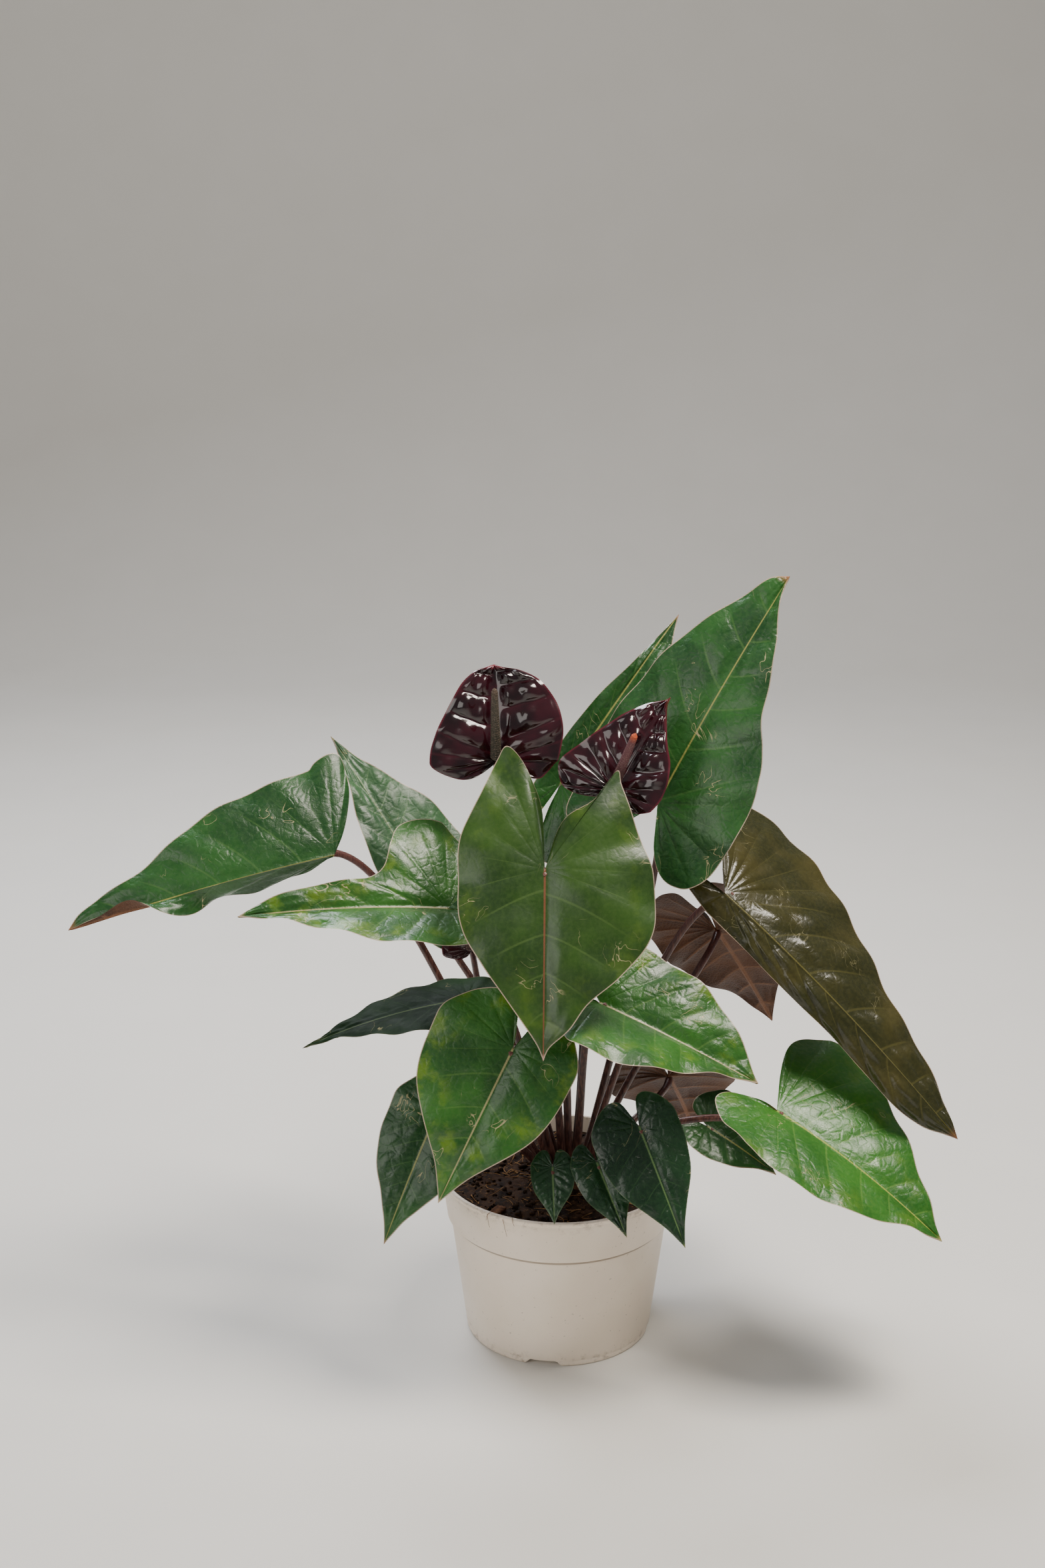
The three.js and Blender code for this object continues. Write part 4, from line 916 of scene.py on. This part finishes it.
def leaf_underside(name, deep, fresh, line):
    """Matt underside of a leaf: dull, flushed with copper, with raised veins lighter than the skin."""
    made, tree = new_material(name, IOR=1.42)
    place = node(tree, "TexCoord", out="Object")
    flat = node(tree, "Attribute", out="Vector", attribute_name="flat")
    flat = node(tree, "VectorMath", {0: flat, 3: MM}, operation="SCALE")
    across, veins, midrib = [
        node(tree, "Attribute", out="Fac", attribute_name=key)
        for key in ("across", "vein", "rib")
    ]
    # clouds, 26 mm, and a net of veinlets, 2.2 mm
    clouds = node(tree, "TexNoise", [place, 0.0, 1000 / 26, 3.0, 0.5])
    colour = tint(tree, srgb(deep), clouds, (0.36, 0.66), fresh)
    net = node(tree, "TexVoronoi", {"Vector": flat, "Scale": 1000 / 2.2}, feature="DISTANCE_TO_EDGE",
               out="Distance")
    colour = tint(tree, colour, net, (0.0, 0.1, 0.22, 0.0), line)
    gap = node(tree, "Math", [veins, 0.5], operation="PINGPONG")
    raised = node(tree, "MapRange", [gap, 0.02, 0.07, 0.7, 0.0], **SMOOTH)
    fade = node(tree, "MapRange", [across, 0.6, 0.96, 1.0, 0.0], **SMOOTH)
    raised = node(tree, "Math", [raised, fade], operation="MULTIPLY")
    colour = node(tree, "MixRGB", [raised, colour, srgb(line)])
    colour = tint(tree, colour, midrib, (0.6, 1.8, 0.9, 0.0), line)
    cells = node(tree, "MapRange", [net, 0.0, 0.2], **SMOOTH)
    bump = node(tree, "Bump", {"Strength": 0.35, "Distance": 0.0003, "Height": cells})
    dull = node(tree, "MapRange", [clouds, 0.3, 0.7, 0.48, 0.6], **SMOOTH)
    return plug(made, Base_Color=colour, Roughness=dull, Normal=bump)


def stem_skin(name, foot, top):
    """Smooth waxy stalk: dark mauve-brown, browner near the blade, with fine lengthwise streaks."""
    made, tree = new_material(name, IOR=1.45, Coat_Weight=0.1, Coat_Roughness=0.25)
    place = node(tree, "TexCoord", out="Object")
    along = node(tree, "Attribute", out="Fac", attribute_name="along")
    colour = tint(tree, srgb(foot), along, (0.35, 1.0), top)
    # streaks 1.1 mm wide and nine times as long, since most stalks stand nearly upright
    tall = node(tree, "Mapping", {"Vector": place, "Scale": (1.0, 1.0, 0.12)})
    streak = node(tree, "TexNoise", [tall, 0.0, 1000 / 1.1, 2.0, 0.5])
    colour = tint(tree, colour, streak, (0.4, 0.7, 0.0, 0.4), "#86594a")
    colour = tint(tree, colour, along, (0.955, 0.985, 0.0, 0.5), "#7b4d40")
    bump = node(tree, "Bump", {"Strength": 0.3, "Distance": 0.0003, "Height": streak})
    sheen = node(tree, "MapRange", [streak, 0.3, 0.7, 0.3, 0.46], **SMOOTH)
    return plug(made, Base_Color=colour, Roughness=sheen, Normal=bump)


def spathe_skin(name, deep, fresh, roughness):
    """Lacquer-like bract: near-black maroon, wet gloss over swollen cells, redder at the rim and point."""
    made, tree = new_material(name, IOR=1.48, Coat_Weight=0.6, Coat_Roughness=0.06)
    place = node(tree, "TexCoord", out="Object")
    flat = node(tree, "Attribute", out="Vector", attribute_name="flat")
    flat = node(tree, "VectorMath", {0: flat, 3: MM}, operation="SCALE")
    along, veins, rim = [
        node(tree, "Attribute", out="Fac", attribute_name=key)
        for key in ("along", "vein", "rim")
    ]
    clouds = node(tree, "TexNoise", [place, 0.0, 1000 / 18, 3.0, 0.5])
    colour = tint(tree, srgb(deep), clouds, (0.34, 0.68), fresh)
    gap = node(tree, "Math", [veins, 0.5], operation="PINGPONG")
    colour = tint(tree, colour, gap, (0.02, 0.1, 0.25, 0.0), "#4c1420")
    colour = tint(tree, colour, rim, (0.3, 1.4, 0.65, 0.0), "#64202e")
    colour = tint(tree, colour, along, (0.93, 1.0, 0.0, 0.85), "#a84a58")
    # faint orange peel, 3.5 mm
    peel = node(tree, "TexNoise", [flat, 0.0, 1000 / 3.5, 1.0, 0.4])
    bump = node(tree, "Bump", {"Strength": 0.06, "Distance": 0.0006, "Height": peel})
    gloss = node(tree, "TexNoise", [flat, 0.0, 1000 / 6, 3.0, 0.5])
    gloss = node(tree, "MapRange", [gloss, 0.3, 0.7, roughness - 0.03, roughness + 0.06], **SMOOTH)
    return plug(made, Base_Color=colour, Roughness=gloss, Normal=bump)


def spike_skin(name, foot, top, tip):
    """Packed tiny flowers: dull, darker between the bumps, coloured towards the end of the spike."""
    made, tree = new_material(name, IOR=1.42)
    place = node(tree, "TexCoord", out="Object")
    along = node(tree, "Attribute", out="Fac", attribute_name="along")
    colour = tint(tree, srgb(foot), along, (0.0, 0.75), top)
    colour = tint(tree, colour, along, (0.82, 1.0), tip)
    # one pale speck for each 1 mm flower
    specks = node(tree, "TexVoronoi", {"Vector": place, "Scale": 1000 / 1.0}, out="Distance")
    colour = tint(tree, colour, specks, (0.1, 0.5, 0.3, 0.0), "#a08572")
    bump = node(tree, "Bump", {"Strength": 0.5, "Distance": 0.0003, "Height": specks})
    sheen = node(tree, "MapRange", [specks, 0.0, 0.6, 0.34, 0.6], **SMOOTH)
    return plug(made, Base_Color=colour, Roughness=sheen, Normal=bump)


def moulded_polypropylene():
    """Injection-moulded pot plastic: warm white, eggshell sheen, faint flow marks and soil dust."""
    made, tree = new_material("moulded_polypropylene", IOR=1.49)
    place = node(tree, "TexCoord", out="Object")
    clouds = node(tree, "TexNoise", [place, 0.0, 1000 / 60, 4.0, 0.5])
    colour = tint(tree, srgb("#f0e3d2"), clouds, (0.3, 0.7), "#e7d8c5")
    # dust gathers on the lowest 12 mm and the top 12 mm, in 5 mm smudges
    height = node(tree, "SeparateXYZ", [place], out="Z")
    low = node(tree, "MapRange", [height, 0.0, 0.012, 0.6, 0.0], **SMOOTH)
    high = node(tree, "MapRange", [height, 0.094, 0.107, 0.0, 0.55], **SMOOTH)
    dust = node(tree, "Math", [low, high], operation="MAXIMUM")
    smudge = node(tree, "TexNoise", [place, 0.0, 1000 / 5, 5.0, 0.7])
    smudge = node(tree, "MapRange", [smudge, 0.5, 0.68], **SMOOTH)
    dust = node(tree, "Math", [dust, smudge], operation="MULTIPLY")
    colour = node(tree, "MixRGB", [dust, colour, srgb("#8a7560")])
    specks = node(tree, "TexNoise", [place, 0.0, 1000 / 2.2, 1.0, 0.5])
    colour = tint(tree, colour, specks, (0.71, 0.77, 0.0, 0.45), "#a89a84")
    # painted shade under the collar's overhang: a darker line about 1 mm high
    collar_shade = node(tree, "Math", [height, (STEP_Z - 1.4) * MM], operation="SUBTRACT")
    collar_shade = node(tree, "Math", [collar_shade], operation="ABSOLUTE")
    colour = tint(tree, colour, collar_shade, (0.0004, 0.0009, 0.75, 0.0), "#8f7f6e")
    # moulded texture, 0.8 mm, over flow marks, 26 mm
    fine = node(tree, "TexNoise", [place, 0.0, 1000 / 0.8, 2.0, 0.5])
    bump = node(tree, "Bump", {"Strength": 0.18, "Distance": 0.0002, "Height": fine})
    flow = node(tree, "TexNoise", [place, 0.0, 1000 / 26, 3.0, 0.5])
    bump = node(tree, "Bump", {"Strength": 0.25, "Distance": 0.0006, "Height": flow, "Normal": bump})
    sheen = node(tree, "MapRange", [clouds, 0.3, 0.7, 0.4, 0.5], **SMOOTH)
    return plug(made, Base_Color=colour, Roughness=sheen, Normal=bump)


def rough_matter(name, dark, light, speck, size, bump_height):
    """Dull crumbly matter in two tones with paler specks: peat, bark, rootstock or dry scales."""
    made, tree = new_material(name, IOR=1.4, Specular_IOR_Level=0.25)
    place = node(tree, "TexCoord", out="Object")
    clouds = node(tree, "TexNoise", [place, 0.0, 1000 / (4 * size), 6.0, 0.65])
    colour = tint(tree, srgb(dark), clouds, (0.36, 0.64), light)
    fine = node(tree, "TexNoise", [place, 0.0, 1000 / size, 4.0, 0.7])
    colour = tint(tree, colour, fine, (0.56, 0.72, 0.0, 0.75), speck)
    bump = node(tree, "Bump", {"Strength": 0.8, "Distance": bump_height * MM, "Height": fine})
    dull = node(tree, "MapRange", [fine, 0.3, 0.7, 0.75, 0.95], **SMOOTH)
    return plug(made, Base_Color=colour, Roughness=dull, Normal=bump)


SKINS = {
    "green": leaf_skin("leaf_skin_green", "#17401a", "#275822", "#4c7139", "#93924e", "#96603e", 0.34,
                       scar=0.9),
    "sunlit": leaf_skin("leaf_skin_sunlit", "#1f4c1a", "#326820", "#577c38", "#a8a070", "#c2a98a", 0.33,
                        patch=0.4, scar=0.9),
    "olive": leaf_skin("leaf_skin_olive", "#223d16", "#31501a", "#506a34", "#7d4a35", "#d2aa9c", 0.32,
                       patch=0.12, scar=0.6, crinkle=0.08),
    # the pale skin is a lighter copy of the green leaf skin: its paler greens are painted sheen, standing
    # in for the gloss on that leaf
    "pale": leaf_skin("leaf_skin_painted_sheen", "#2a5030", "#3b643e", "#6f9062", "#7e9468", "#b3a878", 0.42,
                      scar=0.8),
    "bright": leaf_skin("leaf_skin_bright", "#26601b", "#387424", "#6c9440", "#a3ad4a", "#b9ac70", 0.34,
                        patch=0.2, scar=0.8),
    "bronze": leaf_skin("leaf_skin_bronze", "#2a2c13", "#403c1b", "#57532a", "#6c6634", "#7a4a30", 0.22,
                        scar=0.3, crinkle=0.14),
    "dark": leaf_skin("leaf_skin_dark", "#0f2a16", "#1a3c1f", "#365632", "#5f7a4a", "#90924c", 0.28,
                      scar=0.5, margin="#44583a"),
    "shaded": leaf_skin("leaf_skin_shaded", "#122414", "#1b331a", "#34482c", "#5a6a40", "#3a3a22", 0.56,
                        scar=0.8, crinkle=0.12, coat=0.0, shine=0.12, margin="#565a42"),
}
UNDERSIDES = {
    "green": leaf_underside("leaf_underside_green", "#3a4422", "#4f5429", "#7c6d3c"),
    "bronze": leaf_underside("leaf_underside_copper", "#43291c", "#5a3a26", "#7d5336"),
}
PETIOLE_SKIN = stem_skin("petiole_skin", "#38201d", "#553434")
PEDUNCLE_SKIN = stem_skin("peduncle_skin", "#2a1615", "#40262a")
SPATHE_FACE = spathe_skin("spathe_lacquer", "#180509", "#330b16", 0.16)
SPATHE_BACK = spathe_skin("spathe_back", "#260a10", "#401620", 0.3)
SPIKES = {
    "1": spike_skin("spike_olive", "#38342a", "#464036", "#54463a"),
    "2": spike_skin("spike_mauve", "#4c2e30", "#6c4448", "#c05a34"),
    "3": spike_skin("spike_young", "#3a2620", "#4c302a", "#5a3a30"),
}
PLASTIC = moulded_polypropylene()
PEAT = rough_matter("peat", "#1a100b", "#3c291c", "#80623f", 2.0, 1.0)
FIBRE = rough_matter("root_fibre", "#6a4a2c", "#96714a", "#c2a47a", 1.2, 0.2)
BARK = rough_matter("pine_bark", "#3c2416", "#6a452c", "#8f6846", 1.6, 0.5)
ROOTSTOCK = rough_matter("rootstock_cork", "#2c1d12", "#50382a", "#7a5c44", 1.8, 0.6)
PAPER = rough_matter("dry_scale", "#4a3222", "#75543a", "#a07e5c", 2.6, 0.3)

# ---- Build. Sizes in a look are millimetres; spacing is a share of the blade's width. ----
LEAF_LOOK = dict(steps=140, across=26, thickness=0.7, quilt=0.6, lump=0.3, groove=0.3, blister=0.2,
                 cell=7, spacing=0.19, wave=1.4, wave_length=37, slow=1.7, valley=0.8, ridge=0.35,
                 rib=0.8, keel=1.3, under_vein=0.5, roll=0.0, inner=2.5)
GLOSSY_LOOK = dict(LEAF_LOOK, quilt=1.5, lump=0.35, groove=0.5, blister=0.0, slow=2.2, wave=1.0)
SMOOTH_LOOK = dict(LEAF_LOOK, quilt=0.4, groove=0.15, blister=0.0, slow=2.2, wave=1.2, inner=4.5)
SMALL_LOOK = dict(LEAF_LOOK, steps=84, across=20, wave=0.8, wave_length=24, slow=0.8,
                  valley=0.5, ridge=0.25, rib=0.6, keel=0.9, under_vein=0.3, cell=5, inner=0.8)
SPATHE_LOOK = dict(LEAF_LOOK, steps=150, across=44, thickness=0.9, quilt=2.3, groove=0.5,
                   cell=9, spacing=0.165, wave=0.8, wave_length=22, slow=1.2, valley=0.9,
                   ridge=0.5, keel=1.0, roll=1.0, inner=1.0)
BUD_LOOK = dict(SPATHE_LOOK, steps=90, across=24, quilt=0.8, cell=5, wave=0.3, slow=0.4,
                roll=0.4)

for leaf in LEAVES:
    letter = leaf["name"]
    shape = LEAF_LOOK if leaf["width"] > 60 else SMALL_LOOK
    shape = {"G": GLOSSY_LOOK, "D": SMOOTH_LOOK}.get(letter, shape)
    under = "bronze" if leaf["skin"] in ("bronze", "dark") or letter == "A" else "green"
    make_blade("blade_" + letter, leaf, LEAF_OUTLINE, shape, [SKINS[leaf["skin"]], UNDERSIDES[under]],
               ["leaf_blade_" + letter])
    make_stem("stalk_" + letter, leaf, PETIOLE_RADIUS, BLADE_THICKNESS, PETIOLE_SKIN,
              ["petiole_" + letter])
for flower in FLOWERS:
    number = flower["name"]
    shape = BUD_LOOK if number == "3" else SPATHE_LOOK
    make_blade("bract_" + number, flower, SPATHE_OUTLINE, shape, [SPATHE_FACE, SPATHE_BACK],
               ["spathe_" + number])
    make_stem("flower_stalk_" + number, flower, PEDUNCLE_RADIUS, SPATHE_THICKNESS, PEDUNCLE_SKIN,
              ["peduncle_" + number])
    make_spadix("spike_" + number, flower, SPIKES[number])
make_pot(PLASTIC)
make_soil(PEAT)
make_crumbs(PEAT)
make_fibres(FIBRE)
make_chips(BARK)
make_crown(ROOTSTOCK)
make_sheaths(PAPER)


# ---- Studio, in metres and degrees ----
FLOOR_FLAT, FLOOR_BEND = 4.6, 0.8
FLOOR_FRONT = -3
FLOOR_HALF_WIDTH = 5
FLOOR_RUN = 8
MIDDLE = (0.0, 0.0, 0.22)
AIR_STRENGTH = 0.28
CAMERA_PLACE = (-0.0226, -1.2236, 0.7329)
CAMERA_DIP = 17.18


def studio_surface():
    """Seamless matt paper: a floor that sweeps up behind."""
    made, tree = new_material("seamless_paper", Roughness=0.9, Specular_IOR_Level=0.2)
    place = node(tree, "TexCoord", out="Object")
    fine = node(tree, "TexNoise", [place, 0.0, 1000 / 90, 2.0, 0.5])
    colour = node(tree, "MixRGB", [fine, srgb("#e6e4df"), srgb("#e1dfd9")])
    return plug(made, Base_Color=colour)


def make_floor():
    """The sweep, in metres."""
    bm = bmesh.new()
    bmesh.ops.create_grid(bm, x_segments=4, y_segments=96, size=1.0)
    quarter = FLOOR_BEND * math.pi / 2
    back = FLOOR_FRONT + FLOOR_FLAT
    for vert in bm.verts:
        x, run = vert.co.x * FLOOR_HALF_WIDTH, (vert.co.y + 1) * FLOOR_RUN / 2
        if run < FLOOR_FLAT:
            vert.co = (x, run + FLOOR_FRONT, 0)
        elif run < FLOOR_FLAT + quarter:
            a = (run - FLOOR_FLAT) / FLOOR_BEND
            vert.co = (x, back + FLOOR_BEND * math.sin(a), FLOOR_BEND * (1 - math.cos(a)))
        else:
            vert.co = (x, back + FLOOR_BEND, FLOOR_BEND + run - FLOOR_FLAT - quarter)
    for face in bm.faces:
        face.smooth = True
    mesh = bpy.data.meshes.new("floor_sweep")
    bm.to_mesh(mesh)
    bm.free()
    mesh.materials.append(studio_surface())
    floor = bpy.data.objects.new("floor_sweep", mesh)
    bpy.context.scene.collection.objects.link(floor)


def add_light(name, place, target, size, power, colour):
    """A square soft light aimed at a point."""
    data = bpy.data.lights.new(name, "AREA")
    data.size = size
    data.energy = power
    data.color = srgb(colour)[:3]
    lamp = bpy.data.objects.new(name, data)
    lamp.location = place
    lamp.rotation_euler = (Vector(target) - Vector(place)).to_track_quat("-Z", "Y").to_euler()
    bpy.context.scene.collection.objects.link(lamp)


make_floor()
add_light("key_light", (0.5, -0.2, 1.55), MIDDLE, 0.5, 27, "#fff6ea")
add_light("back_light", (-0.45, 0.85, 1.35), MIDDLE, 0.7, 20, "#f4f7ff")
add_light("fill_light", (-1.3, -1.3, 0.9), MIDDLE, 1.2, 12, "#fffaf4")
world = bpy.data.worlds.new("studio_air")
world.use_nodes = True
world.node_tree.nodes["Background"].inputs["Color"].default_value = srgb("#e8e8ea")
world.node_tree.nodes["Background"].inputs["Strength"].default_value = AIR_STRENGTH
bpy.context.scene.world = world

lens = bpy.data.cameras.new("camera")
lens.lens = 50
lens.sensor_width = 36
viewer = bpy.data.objects.new("camera", lens)
viewer.location = CAMERA_PLACE
viewer.rotation_euler = (math.radians(90 - CAMERA_DIP), 0, 0)
bpy.context.scene.collection.objects.link(viewer)
bpy.context.scene.camera = viewer

bpy.context.view_layer.update()
